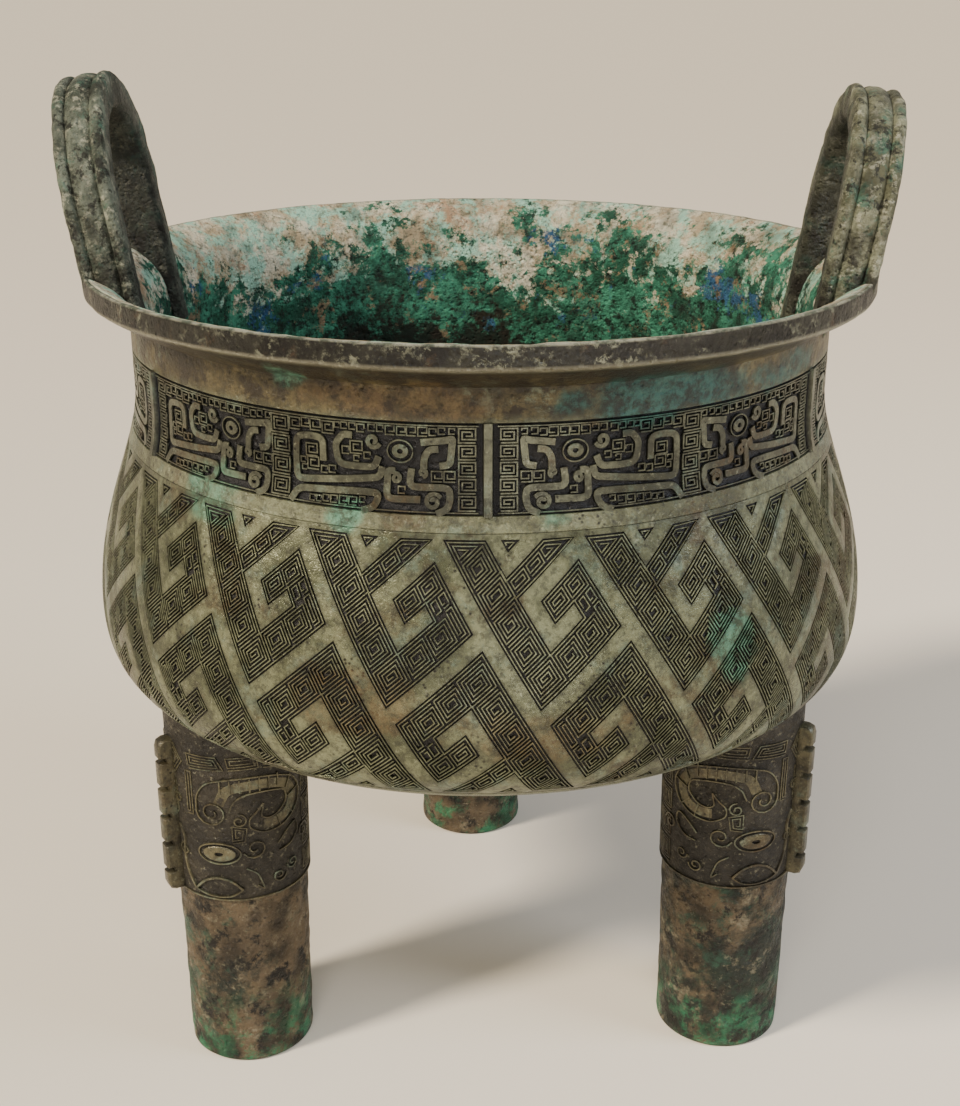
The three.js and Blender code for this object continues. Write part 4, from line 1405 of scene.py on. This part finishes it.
@dataclass(frozen=True)
class Handle:
    """An upright arch with three rounded ribs along its outer side, leaning outward, that ends in the rim.

    Attributes:
        bowl: The bowl it stands on.
        azimuth: Degrees around the bowl's axis.
        rise: From the rim to the top, along the handle.
        span: Between the limbs' centre lines.
        lean: Degrees outward.
        inset: From the rim's edge to the outer face.
        depth: Limb's size towards the bowl's axis.
        thickness: Limb's size along the rim.
        rib_depth: Depth of the grooves between the ribs.
    """

    bowl: Bowl
    azimuth: float
    rise: float
    span: float = 66.0
    lean: float = 9.0
    inset: float = 4.6
    depth: float = 17.0
    thickness: float = 12.5
    rib_depth: float = 2.2

    def section(self) -> Array:
        """Section of the limb: three ribs outside, each half an ellipse, the middle one the broadest, and a
        rounded inner side.

        Returns:
            Rows of radial and outward place, around the section.
        """
        half, groove = self.depth / 2, self.thickness / 2 - self.rib_depth
        u = np.linspace(-1, 1, 13)[:-1, None]
        bulge = self.rib_depth * np.sqrt(1 - 0.94 * u**2)
        shares = ((-0.74, 0.26), (0.0, 0.48), (0.74, 0.26))
        ribs = [np.hstack([(middle + u * width) * half, groove + bulge]) for middle, width in shares]
        inner = rounded([
            (half, groove), (half, -self.thickness / 2), (-half, -self.thickness / 2), (-half, groove),
        ], 4.0, 6)
        return np.vstack([*ribs, densified(inner[:-1], 1.6, closed=False)])

    def seat(self, radius: Array) -> Array:
        """Height of the casting's top face at a radius: the flare inside the rim, then the lip's middle."""
        inner = self.bowl.inner_rows()[:16][::-1]
        wall = self.bowl.wall
        height = np.interp(radius, inner[:, 0], inner[:, 1]) - 1.6
        height = np.where(radius < inner[0, 0], inner[0, 1] - 6.0, height)
        return np.where(radius > wall.rim_radius - 1.2, wall.rim_height - wall.lip_face / 2, height)

    def build(self) -> Sheet:
        """Carries the section along the arch and leans it outward; each line of a limb starts where it meets
        the seat, found by repeated substitution.

        Returns:
            The handle.
        """
        section, wall = self.section(), self.bowl.wall
        lean, reach = math.radians(self.lean), self.span / 2
        radial, out = section.T
        base = wall.rim_radius - self.inset - self.depth / 2
        foot = np.zeros(len(section))
        for _ in range(20):
            x = radial * math.cos(lean) + foot * math.sin(lean) + base
            sunk = self.seat(np.hypot(x, reach + out)) - wall.rim_height
            foot = (sunk + radial * math.sin(lean)) / math.cos(lean)
        spring = self.rise - self.thickness / 2 - reach
        climb = np.linspace(0, 1, 30, endpoint=False)[:, None]
        angle = np.linspace(0, math.pi, 64)[:, None]
        limb = foot + (spring - foot) * climb
        y = np.vstack([np.broadcast_to(reach + out, limb.shape), (reach + out) * np.cos(angle),
                       np.broadcast_to(-reach - out, limb.shape)])
        z = np.vstack([limb, spring + (reach + out) * np.sin(angle), limb[::-1]])
        axis_y = np.vstack([np.full((30, 1), reach), reach * np.cos(angle), np.full((30, 1), -reach)])
        axis_z = np.vstack([limb.mean(axis=1, keepdims=True), spring + reach * np.sin(angle),
                            limb[::-1].mean(axis=1, keepdims=True)])
        rows, count = y.shape
        points = np.stack([np.broadcast_to(radial, y.shape), y, z], axis=-1).reshape(-1, 3)
        middle = np.stack([np.zeros((rows, count)), np.broadcast_to(axis_y, y.shape),
                           np.broadcast_to(axis_z, y.shape)], axis=-1).reshape(-1, 3)
        middle[:, 2] = np.where(points[:, 2] < spring, points[:, 2], middle[:, 2])
        wear = crust_noise(points + 50 + self.azimuth, 5.0, 11, 5)
        points += (middle - points) * (0.13 * wear**1.3)[:, None]
        x = points[:, 0] * math.cos(lean) + points[:, 2] * math.sin(lean) + base
        up = -points[:, 0] * math.sin(lean) + points[:, 2] * math.cos(lean) + wall.rim_height
        placed = turned(np.column_stack([x, points[:, 1], up]), self.azimuth)
        size = len(placed)
        hubs = np.stack([placed[:count].mean(axis=0), placed[-count:].mean(axis=0)])
        ring = np.arange(count)
        triangles = np.vstack([fan(ring, size, True), fan(ring + size - count, size + 1, False)])
        inward = np.broadcast_to(out < 0, (rows, count)).reshape(-1)
        masks = {
            "wear": np.append(wear, [0.5, 0.5]), "hollow": np.append(inward.astype(float), [0.0, 0.0]),
            "foot": np.append(ease(26, 4, up - wall.rim_height), [1.0, 1.0]),
        }
        return Sheet(np.vstack([placed, hubs]), grid_quads(rows, count)[:, ::-1], triangles, masks)


# Finishes


def colour(code: str) -> tuple[float, float, float, float]:
    """Linear colour of a six-digit sRGB code."""
    values = spread([int(code[i: i + 2], 16) / 255 for i in (0, 2, 4)])
    linear = np.where(values <= 0.04045, values / 12.92, ((values + 0.055) / 1.055) ** 2.4)
    return (*linear.tolist(), 1.0)


class Tree:
    """Small helper that adds nodes to a node tree and links them."""

    def __init__(self, tree: bpy.types.NodeTree) -> None:
        """Keeps the tree."""
        self.tree = tree

    def add(
        self, kind: str, inputs: dict[str | int, object] | None = None, **settings: object,
    ) -> bpy.types.Node:
        """Adds a node.

        Args:
            kind: Node type.
            inputs: Values or source sockets for its inputs, by name or number.
            settings: Properties of the node.

        Returns:
            The node.
        """
        node = self.tree.nodes.new(kind)
        for name, value in settings.items():
            setattr(node, name, value)
        for name, value in (inputs or {}).items():
            if isinstance(value, Socket):
                self.tree.links.new(value, node.inputs[name])
            else:
                node.inputs[name].default_value = value
        return node

    def mix(self, share: object, first: object, second: object, blend: str = "MIX") -> Socket:
        """Mixes two colours by a share and returns the result's socket."""
        node = self.add("ShaderNodeMix", {0: share, 6: first, 7: second}, data_type="RGBA", blend_type=blend)
        return node.outputs[2]

    def math(self, operation: str, first: object, second: object = 0.0) -> Socket:
        """Works out one sum of two numbers and returns its socket."""
        return self.add("ShaderNodeMath", {0: first, 1: second}, operation=operation).outputs[0]

    def ramp(self, value: object, low: object, high: object, smooth: bool = False) -> Socket:
        """Share from 0 to 1 of a value's way from low to high, eased at both ends if asked."""
        kind = "SMOOTHSTEP" if smooth else "LINEAR"
        node = self.add("ShaderNodeMapRange", {
            "Value": value, "From Min": low, "From Max": high,
        }, interpolation_type=kind)
        return node.outputs["Result"]

    def height(self) -> Socket:
        """Height above the feet, in metres."""
        place = self.add("ShaderNodeTexCoord").outputs["Object"]
        return self.add("ShaderNodeSeparateXYZ", {0: place}).outputs["Z"]

    def mask(self, name: str) -> Socket:
        """Value of a vertex mask."""
        return self.add("ShaderNodeAttribute", attribute_name=name).outputs["Fac"]

    def group(self, group: bpy.types.NodeTree, **inputs: object) -> bpy.types.Node:
        """Places a node group; underscores in input names stand for spaces."""
        node = self.tree.nodes.new("ShaderNodeGroup")
        node.node_tree = group
        for name, value in inputs.items():
            socket = node.inputs[name.replace("_", " ")]
            if isinstance(value, Socket):
                self.tree.links.new(value, socket)
            else:
                socket.default_value = value
        return node


@dataclass(frozen=True)
class Effects:
    """Node groups that several finishes share."""

    blotches: bpy.types.NodeTree
    specks: bpy.types.NodeTree
    pitting: bpy.types.NodeTree

    @staticmethod
    def new_group(
        name: str, inputs: dict[str, float], outputs: Sequence[str],
    ) -> tuple[Tree, dict[str, Socket], bpy.types.Node]:
        """Starts a group with float inputs and outputs.

        Args:
            name: Name of the group.
            inputs: Names and first values of the inputs.
            outputs: Names of the outputs.

        Returns:
            The tree helper, the input sockets by name, and the output node.
        """
        group = bpy.data.node_groups.new(name, "ShaderNodeTree")
        for label, value in inputs.items():
            socket = group.interface.new_socket(label, in_out="INPUT", socket_type="NodeSocketFloat")
            socket.default_value = value
        for label in outputs:
            group.interface.new_socket(label, in_out="OUTPUT", socket_type="NodeSocketFloat")
        tree = Tree(group)
        entry = tree.add("NodeGroupInput")
        return tree, {label: entry.outputs[label] for label in inputs}, tree.add("NodeGroupOutput")

    @staticmethod
    def place(tree: Tree, shift: Socket) -> Socket:
        """Object coordinates moved by a shift, so that two uses of a group differ."""
        where = tree.add("ShaderNodeTexCoord").outputs["Object"]
        return tree.add("ShaderNodeVectorMath", {0: where, 1: shift}, operation="ADD").outputs[0]

    @classmethod
    def build(cls) -> "Effects":
        """Builds the groups: soft-edged blotches, small round specks, and pitted roughness."""
        tree, given, out = cls.new_group(
            "Blotches", {"Scale": 40.0, "Low": 0.45, "High": 0.6, "Shift": 0.0, "Distortion": 0.15}, ["Mask"])
        noise = tree.add("ShaderNodeTexNoise", {
            "Vector": cls.place(tree, given["Shift"]), "Scale": given["Scale"], "Detail": 8.0,
            "Roughness": 0.76, "Distortion": given["Distortion"],
        })
        step = tree.ramp(noise.outputs["Fac"], given["Low"], given["High"], smooth=True)
        tree.tree.links.new(step, out.inputs["Mask"])
        blotches = tree.tree

        tree, given, out = cls.new_group(
            "Specks", {"Scale": 300.0, "Size": 0.3, "Amount": 0.5, "Shift": 0.0}, ["Mask"])
        where = cls.place(tree, given["Shift"])
        cells = tree.add("ShaderNodeTexVoronoi", {
            "Vector": where, "Scale": given["Scale"], "Randomness": 1.0,
        })
        near = tree.ramp(cells.outputs["Distance"], given["Size"], 0.05, smooth=True)
        where_some = tree.add("ShaderNodeTexNoise", {"Vector": where, "Scale": 60.0, "Detail": 3.0})
        some = tree.ramp(where_some.outputs["Fac"], given["Amount"], tree.math("ADD", given["Amount"], 0.12))
        both = tree.math("MULTIPLY", near, some)
        tree.tree.links.new(both, out.inputs["Mask"])
        specks = tree.tree

        tree, given, out = cls.new_group("Pitting", {"Scale": 120.0, "Depth": 1.0, "Shift": 0.0}, ["Height"])
        where = cls.place(tree, given["Shift"])
        rough = tree.add("ShaderNodeTexNoise", {
            "Vector": where, "Scale": given["Scale"], "Detail": 9.0, "Roughness": 0.7,
        })
        pits = tree.add("ShaderNodeTexVoronoi", {
            "Vector": where, "Scale": tree.math("MULTIPLY", given["Scale"], 2.2), "Randomness": 1.0,
        }, feature="SMOOTH_F1")
        low = tree.ramp(pits.outputs["Distance"], 0.0, 0.35)
        total = tree.math("ADD", rough.outputs["Fac"], tree.math("MULTIPLY", low, 0.35))
        tree.tree.links.new(tree.math("MULTIPLY", total, given["Depth"]), out.inputs["Height"])
        return cls(blotches, specks, tree.tree)


@dataclass(frozen=True)
class Finish:
    """Base of the finishes: a metal under corrosion, with colour, roughness and bump worked out by nodes.

    Attributes:
        effects: Shared node groups.
    """

    effects: Effects

    def start(self, name: str, metallic: float) -> tuple[bpy.types.Material, Tree, bpy.types.Node]:
        """Starts a material with a plain principled shader.

        Args:
            name: Name of the material.
            metallic: How metallic it is.

        Returns:
            The material, the tree helper and the shader.
        """
        material = bpy.data.materials.new(name)
        material.use_nodes = True
        tree = Tree(material.node_tree)
        shader = material.node_tree.nodes["Principled BSDF"]
        shader.inputs["Metallic"].default_value = metallic
        return material, tree, shader

    def blotch(self, tree: Tree, scale: float, low: float, high: float, shift: float) -> Socket:
        """Mask of soft blotches."""
        group = tree.group(self.effects.blotches, Scale=scale, Low=low, High=high, Shift=shift)
        return group.outputs["Mask"]

    def speck(self, tree: Tree, scale: float, size: float, amount: float, shift: float) -> Socket:
        """Mask of small round specks."""
        group = tree.group(self.effects.specks, Scale=scale, Size=size, Amount=amount, Shift=shift)
        return group.outputs["Mask"]

    def clouds(self, tree: Tree, first: str, second: str, blotch: Blotch) -> Socket:
        """Two colours, by their codes, that meet in the soft edges of a blotch."""
        return tree.mix(self.blotch(tree, *blotch), colour(first), colour(second))

    def stained(self, tree: Tree, base: Socket, code: str, blotch: Blotch, share: float = 1.0) -> Socket:
        """Lays a stain over a colour.

        Args:
            tree: Helper of the material's tree.
            base: Colour under the stain.
            code: Colour of the stain.
            blotch: Scale, low, high and shift of the blotch it fills.
            share: How much of the colour it hides.

        Returns:
            The stained colour.
        """
        mask = self.blotch(tree, *blotch)
        if share < 1.0:
            mask = tree.math("MULTIPLY", mask, share)
        return tree.mix(mask, base, colour(code))

    def masked(self, tree: Tree, base: Socket, code: str, mask: Socket, share: float) -> Socket:
        """Lays a share of a colour, by its code, over another where a mask is 1."""
        return tree.mix(tree.math("MULTIPLY", mask, share), base, colour(code))

    def finished(self, tree: Tree, shader: bpy.types.Node, base: Socket, mask: Socket, rough: Range) -> None:
        """Gives the shader its colour, and a roughness that runs from one end to the other with a mask."""
        tree.tree.links.new(base, shader.inputs["Base Color"])
        node = tree.add("ShaderNodeMapRange", {"Value": mask, "To Min": rough[0], "To Max": rough[1]})
        tree.tree.links.new(node.outputs["Result"], shader.inputs["Roughness"])

    def bump(self, tree: Tree, shader: bpy.types.Node, scale: float, depth: float,
             share: Socket | float = 1.0) -> None:
        """Gives the shader a pitted bump of a depth in metres, scaled by a share from 0 to 1."""
        height = tree.group(self.effects.pitting, Scale=scale, Depth=share, Shift=3.0).outputs["Height"]
        node = tree.add("ShaderNodeBump", {"Strength": 1.0, "Distance": depth, "Height": height})
        tree.tree.links.new(node.outputs["Normal"], shader.inputs["Normal"])

    def corroded(self, tree: Tree, base: Socket) -> Socket:
        """Lays the patches of verdigris, teal and earth over a colour."""
        green = self.clouds(tree, "16352a", "5a9078", (260, 0.4, 0.6, 5.0))
        teal = self.clouds(tree, "101f1c", "2b5750", (220, 0.4, 0.6, 8.0))
        earth = self.clouds(tree, "261c11", "665336", (200, 0.4, 0.6, 2.0))
        base = tree.mix(tree.math("MULTIPLY", tree.mask("earth"), 0.75), base, earth)
        base = tree.mix(tree.math("MULTIPLY", tree.mask("teal"), 0.9), base, teal)
        return tree.mix(tree.math("MULTIPLY", tree.mask("verdigris"), 0.75), base, green)

    def aged(self, tree: Tree, pale: str, deep: str) -> Socket:
        """Bronze skin: broad clouds of two colours, brown and grey-green clouds, fine grain, dark pits."""
        base = self.clouds(tree, pale, deep, (38, 0.42, 0.58, 0.0))
        base = self.stained(tree, base, "473a26", (30, 0.52, 0.64, 4.0), 0.75)
        base = self.stained(tree, base, "66786a", (60, 0.52, 0.64, 9.0), 0.5)
        base = self.stained(tree, base, "2a2a22", (420, 0.46, 0.62, 2.0), 0.6)
        base = self.stained(tree, base, "a2a48a", (600, 0.56, 0.64, 12.0), 0.3)
        return tree.mix(self.speck(tree, 520, 0.36, 0.5, 1.0), base, colour("17140f"))


@dataclass(frozen=True)
class ReliefFinish(Finish):
    """Olive-grey bronze of the relief: pale on the crests and nearly black in the cuts.

    Attributes:
        name: Name of the material.
        pale: Colour of the crests.
        deep: Second colour of the crests.
        dark: Colour of the cuts.
    """

    name: str = "relief_bronze"
    pale: str = "73765b"
    deep: str = "4b4e39"
    dark: str = "0c0a08"

    def build(self) -> bpy.types.Material:
        """Builds the material."""
        material, tree, shader = self.start(self.name, 0.45)
        top = self.corroded(tree, self.aged(tree, self.pale, self.deep))
        crown = tree.ramp(tree.mask("crown"), 0.35, 0.95)
        base = tree.mix(crown, colour(self.dark), top)
        self.finished(tree, shader, base, self.blotch(tree, 80, 0.35, 0.65, 3.0), (0.26, 0.5))
        self.bump(tree, shader, 520, 0.0002)
        return material


@dataclass(frozen=True)
class BowlFinish(Finish):
    """Finish of the bowl: ochre neck, dark ground, crusty lip and malachite inside, by vertex masks."""

    def outside(self, tree: Tree) -> Socket:
        """Colour of the outer wall, with painted shade under the lip."""
        base = self.aged(tree, "6e7157", "494b36")
        # The ochre neck's colours are kept dark, partly as painted shade from the rim over the neck.
        ochre = self.clouds(tree, "625839", "39331f", (50, 0.4, 0.6, 7.0))
        ochre = self.stained(tree, ochre, "1c150d", (100, 0.47, 0.57, 1.0), 0.85)
        ochre = self.stained(tree, ochre, "74806c", (90, 0.55, 0.64, 15.0), 0.6)
        ochre = self.stained(tree, ochre, "221c14", (500, 0.45, 0.65, 3.0), 0.6)
        height = tree.height()
        # Painted shade: the top of the neck and the lip's underside are darkened with 1b160f, standing in for
        # the shadow under the overhanging rim.
        frayed = tree.math("MULTIPLY", self.blotch(tree, 70, 0.35, 0.65, 13.0), 0.012)
        ragged = tree.math("ADD", height, frayed)
        rim_shade = tree.ramp(ragged, 0.258, 0.265)
        ochre = self.masked(tree, ochre, "1b160f", rim_shade, 0.75)
        base = self.corroded(tree, tree.mix(tree.mask("neck"), base, ochre))
        base = tree.mix(tree.mask("belt_ground"), base, colour("0c0a08"))
        return tree.mix(tree.mask("frieze_ground"), base, colour("08090d"))

    def inside(self, tree: Tree) -> Socket:
        """Colour of the inside: brown and dark green below, malachite and azurite above, pale by the rim,
        where tan crust and painted light are mixed.
        """
        height = tree.height()
        sways = []
        for blotch, reach in (((22, 0.3, 0.7, 3.0), 0.04), ((150, 0.3, 0.7, 6.0), 0.03)):
            sway = tree.math("SUBTRACT", self.blotch(tree, *blotch), 0.5)
            sways.append(tree.math("MULTIPLY", sway, reach))
        ragged = tree.math("ADD", height, tree.math("ADD", *sways))
        # crust marks the pale band by the rim: tan crust mixed with painted light on the upper inner wall.
        crust = tree.ramp(ragged, 0.247, 0.256, smooth=True)
        green = tree.ramp(ragged, 0.212, 0.226, smooth=True)
        deep = self.clouds(tree, "2a2519", "1b2f22", (70, 0.42, 0.58, 1.0))
        mala = self.clouds(tree, "235a44", "4d9a7c", (75, 0.42, 0.58, 6.0))
        mala = self.stained(tree, mala, "15291f", (240, 0.48, 0.62, 16.0))
        mala = self.stained(tree, mala, "34608c", (34, 0.57, 0.62, 11.0), 0.85)
        mala = self.stained(tree, mala, "9c8466", (90, 0.56, 0.63, 21.0), 0.9)
        # Near-white colour of that band, partly painted light.
        pale = self.clouds(tree, "e8e2ca", "bfae8e", (60, 0.42, 0.58, 2.0))
        pale = self.stained(tree, pale, "afdcc6", (70, 0.47, 0.57, 14.0))
        pale = self.stained(tree, pale, "b8906f", (50, 0.56, 0.62, 18.0), 0.7)
        pale = self.stained(tree, pale, "68705c", (420, 0.5, 0.62, 5.0), 0.7)
        base = tree.mix(crust, tree.mix(green, deep, mala), pale)
        pits = tree.ramp(tree.mask("wear"), 0.35, 0.7)
        return self.masked(tree, base, "1a241c", pits, 0.6)

    def lip(self, tree: Tree) -> Socket:
        """Colour of the lip: dark bronze; its top edge is pale, partly crust and partly a painted highlight,
        and its lower edge has a thin painted highlight.
        """
        height = tree.height()
        # The pale top edge (high) is partly crust and partly a painted highlight; the pale line on the lower
        # edge (low) is a painted highlight.
        high = tree.ramp(height, 0.2696, 0.2703)
        low = tree.ramp(height, 0.2646, 0.2636)
        base = self.clouds(tree, "2c2b22", "15130f", (90, 0.4, 0.6, 4.0))
        flecks = self.blotch(tree, 45, 0.46, 0.62, 8.0), self.blotch(tree, 320, 0.5, 0.58, 8.0)
        crust = tree.math("MULTIPLY", *flecks)
        base = tree.mix(crust, base, colour("94967f"))
        base = self.stained(tree, base, "4f3d2a", (130, 0.55, 0.66, 19.0), 0.6)
        pale = self.clouds(tree, "cbc9b2", "66715f", (160, 0.42, 0.58, 3.0))
        base = tree.mix(high, base, pale)
        # Painted highlight along the lip's lower edge.
        return self.masked(tree, base, "a8a48c", low, 0.6)

    def build(self) -> bpy.types.Material:
        """Builds the material."""
        material, tree, shader = self.start("bowl_bronze", 0.3)
        base = tree.mix(tree.mask("lip"), self.outside(tree), self.lip(tree))
        base = tree.mix(tree.mask("inner"), base, self.inside(tree))
        self.finished(tree, shader, base, tree.mask("inner"), (0.4, 0.85))
        crusty = tree.math("MAXIMUM", tree.mask("inner"), tree.math("MULTIPLY", tree.mask("lip"), 0.8))
        self.bump(tree, shader, 230, 0.005, tree.math("ADD", 0.2, tree.math("MULTIPLY", crusty, 0.8)))
        return material


@dataclass(frozen=True)
class LegFinish(Finish):
    """Dark brown-green bronze of the legs, with brown, grey and malachite crust lower down."""

    def build(self) -> bpy.types.Material:
        """Builds the material."""
        material, tree, shader = self.start("leg_bronze", 0.25)
        base = self.clouds(tree, "1a1711", "2c281f", (60, 0.42, 0.58, 0.0))
        low = self.clouds(tree, "6a5b45", "1e2820", (22, 0.44, 0.56, 5.0))
        low = self.stained(tree, low, "2f5543", (45, 0.53, 0.62, 9.0), 0.8)
        low = self.stained(tree, low, "968d74", (90, 0.54, 0.64, 13.0), 0.8)
        low = self.stained(tree, low, "14110c", (110, 0.51, 0.6, 23.0))
        base = tree.mix(tree.math("SUBTRACT", 1.0, tree.mask("mask_ground")), base, low)
        bright = tree.math("MULTIPLY", tree.mask("foot"), self.blotch(tree, 75, 0.46, 0.58, 2.0))
        base = self.masked(tree, base, "2f7f58", bright, 0.85)
        pits = tree.ramp(tree.mask("wear"), 0.4, 0.7)
        base = self.masked(tree, base, "100e0a", pits, 0.75)
        base = self.stained(tree, base, "9a967c", (500, 0.56, 0.66, 7.0), 0.4)
        self.finished(tree, shader, base, self.blotch(tree, 120, 0.35, 0.65, 3.0), (0.38, 0.75))
        calm = tree.math("MULTIPLY", tree.mask("mask_ground"), 0.7)
        self.bump(tree, shader, 200, 0.005, tree.math("SUBTRACT", 1.0, calm))
        return material


@dataclass(frozen=True)
class HandleFinish(Finish):
    """Crusty grey-green of the handles, darker on their inner side and pitted black at their feet.

    Attributes:
        name: Name of the material.
        light: First colour.
        second: Second colour.
    """

    name: str = "handle_bronze"
    light: str = "6d7159"
    second: str = "4d5342"

    def build(self) -> bpy.types.Material:
        """Builds the material."""
        material, tree, shader = self.start(self.name, 0.25)
        base = self.clouds(tree, self.light, self.second, (50, 0.42, 0.58, 0.0))
        base = self.stained(tree, base, "46705e", (75, 0.52, 0.62, 5.0), 0.8)
        base = self.stained(tree, base, "bab9a2", (300, 0.52, 0.62, 8.0), 0.75)
        base = self.stained(tree, base, "1c1d16", (220, 0.52, 0.6, 18.0), 0.9)
        pits = tree.ramp(tree.mask("wear"), 0.4, 0.7)
        base = self.masked(tree, base, "16170f", pits, 0.6)
        base = self.masked(tree, base, "1a1c15", tree.mask("hollow"), 0.7)
        hole = tree.math("MULTIPLY", tree.mask("foot"), self.blotch(tree, 110, 0.42, 0.6, 3.0))
        base = self.masked(tree, base, "1d170f", hole, 0.85)
        self.finished(tree, shader, base, self.blotch(tree, 100, 0.35, 0.65, 3.0), (0.45, 0.75))
        self.bump(tree, shader, 260, 0.0035)
        return material


# Stage


@dataclass(frozen=True)
class Stage:
    """Wide pale floor, soft lamps and the camera.

    Attributes:
        camera_place: Camera, in millimetres.
        pitch: Degrees the camera looks down.
        lens: Focal length for a 36 mm long side.
        floor_height: Top of the floor, a hair under the feet.
        floor_sides: Points around the floor.
    """

    camera_place: tuple[float, float, float] = (-22.5, -516.4, 363.1)
    pitch: float = 21.14
    lens: float = 50.22
    floor_height: float = -0.2
    floor_sides: int = 64

    def floor(self) -> None:
        """Builds the floor, a flat disc of rings that widen outwards."""
        reach = 0.02 * 1.5 ** np.arange(20) / METRES
        sides = np.arange(self.floor_sides)
        angle = TURN * sides / self.floor_sides
        rings = polar(angle[None, :], reach[:, None], spread([[self.floor_height]])).reshape(-1, 3)
        points = np.vstack([rings, [[0, 0, self.floor_height]]])
        disc = Sheet(points, grid_quads(len(reach), self.floor_sides), fan(sides, len(rings), True))
        floor = disc.to_object("floor", 60)
        material = bpy.data.materials.new("floor_paper")
        material.use_nodes = True
        shader = material.node_tree.nodes["Principled BSDF"]
        shader.inputs["Base Color"].default_value = colour("ece3d3")
        shader.inputs["Roughness"].default_value = 0.75
        floor.data.materials.append(material)

    def lamp(self, name: str, place: Sequence[float], size: float, power: float, tint: str) -> None:
        """Adds a square lamp that looks at the belly."""
        data = bpy.data.lights.new(name, "AREA")
        data.size, data.energy, data.color = size, power, colour(tint)[:3]
        self.aim(bpy.data.objects.new(name, data), Vector(place))

    def sun(self, direction: Sequence[float], spread_angle: float, power: float, tint: str) -> None:
        """Adds a soft distant lamp that shines from a direction."""
        data = bpy.data.lights.new("sun", "SUN")
        data.angle, data.energy, data.color = math.radians(spread_angle), power, colour(tint)[:3]
        self.aim(bpy.data.objects.new("sun", data), Vector(direction))

    def aim(self, lamp: bpy.types.Object, place: Vector) -> None:
        """Puts a lamp in its place and turns it to the belly."""
        lamp.location = place
        lamp.rotation_euler = (Vector((0, 0, 0.18)) - place).to_track_quat("-Z", "Y").to_euler()
        bpy.context.scene.collection.objects.link(lamp)

    def build(self) -> None:
        """Builds the floor, the lamps, the surrounding light and the camera."""
        self.floor()
        self.sun((-1.0, -0.5, 1.05), 10, 4.8, "fff1dc")
        self.lamp("low_front", (0.1, -1.1, 0.1), 0.3, 2.5, "ffffff")
        self.lamp("high_front", (-0.15, -0.95, 1.15), 0.4, 6.0, "fff8ee")
        self.lamp("right", (1.0, -0.35, 0.75), 0.5, 9.0, "e6efff")
        world = bpy.data.worlds.new("studio")
        world.use_nodes = True
        tree = Tree(world.node_tree)
        light = tree.add("ShaderNodeBackground", {"Color": colour("fbf3e6"), "Strength": 0.36})
        backdrop = tree.add("ShaderNodeBackground", {"Color": colour("cbc2b4"), "Strength": 1.0})
        seen = tree.add("ShaderNodeLightPath").outputs["Is Camera Ray"]
        both = tree.add("ShaderNodeMixShader", {0: seen, 1: light.outputs[0], 2: backdrop.outputs[0]})
        tree.tree.links.new(both.outputs[0], world.node_tree.nodes["World Output"].inputs["Surface"])
        bpy.context.scene.world = world
        camera = bpy.data.cameras.new("camera")
        camera.lens, camera.sensor_width = self.lens, 36.0
        eye = bpy.data.objects.new("camera", camera)
        place = Vector(self.camera_place) * METRES
        away = math.hypot(place.x, place.y)
        down = math.radians(self.pitch)
        look = Vector((-place.x / away * math.cos(down), -place.y / away * math.cos(down), -math.sin(down)))
        eye.location = place
        eye.rotation_euler = look.to_track_quat("-Z", "Y").to_euler()
        bpy.context.scene.collection.objects.link(eye)
        bpy.context.scene.camera = eye


def dress(piece: bpy.types.Object, material: bpy.types.Material) -> None:
    """Gives a piece its material, lets it ride on the vessel's body, and logs it.

    Args:
        piece: The finished object.
        material: Its finish.
    """
    piece.data.materials.append(material)
    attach(piece, "root")
    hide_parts(NODE)
    LOG.info("%s: %d vertices, %d faces", piece.name, len(piece.data.vertices), len(piece.data.polygons))


def with_deposits(sheet: Sheet) -> Sheet:
    """The sheet with the corrosion patches' masks at its vertices."""
    return Sheet(sheet.points, sheet.quads, sheet.triangles, {**sheet.masks, **deposits(sheet.points)})


def main() -> None:
    """Builds the stage and the vessel's pieces in order."""
    logging.basicConfig(level=logging.INFO, format="%(name)s: %(message)s")
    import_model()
    Stage().build()
    effects = Effects.build()
    wall, zones = Wall(), Zones()
    bowl = Bowl(wall, zones)
    relief = ReliefFinish(effects).build()
    # The neck's relief gets a darker copy of the relief bronze as painted shade: the rim shades the neck.
    shaded_neck_relief = ReliefFinish(effects, "neck_relief_bronze", "5c5e4d", "3a3b30", "06070b").build()
    dress(bowl.build().to_object("bowl", 50), BowlFinish(effects).build())
    belt = HookBelt(wall, zones)
    dress(with_deposits(belt.bands()).to_object("belt_bands", 40), relief)
    dress(with_deposits(belt.spirals()).to_object("belt_spirals", 30), relief)
    dress(with_deposits(Frieze(wall, zones).build()).to_object("neck_frieze", 35), shaded_neck_relief)
    leg_finish = LegFinish(effects).build()
    mask_finish = ReliefFinish(effects, "mask_bronze", "605b45", "332f24", "0b0806").build()
    for name, azimuth in (("back", 90), ("left", 210), ("right", 330)):
        leg = Leg(wall, azimuth)
        dress(leg.shaft().to_object(f"leg_{name}", 50), leg_finish)
        relief_parts = Sheet.join([leg.flange(), leg.mask()])
        dress(with_deposits(relief_parts).to_object(f"leg_{name}_mask", 40), mask_finish)
    for name, azimuth, rise, light, second in (
        ("right", -7.7, 55.5, "909278", "5f6049"), ("left", 179.3, 59.0, "7c8474", "454d40"),
    ):
        finish = HandleFinish(effects, f"handle_{name}_bronze", light, second).build()
        dress(Handle(bowl, azimuth, rise).build().to_object(f"handle_{name}", 60), finish)


if __name__ == "__main__":
    main()
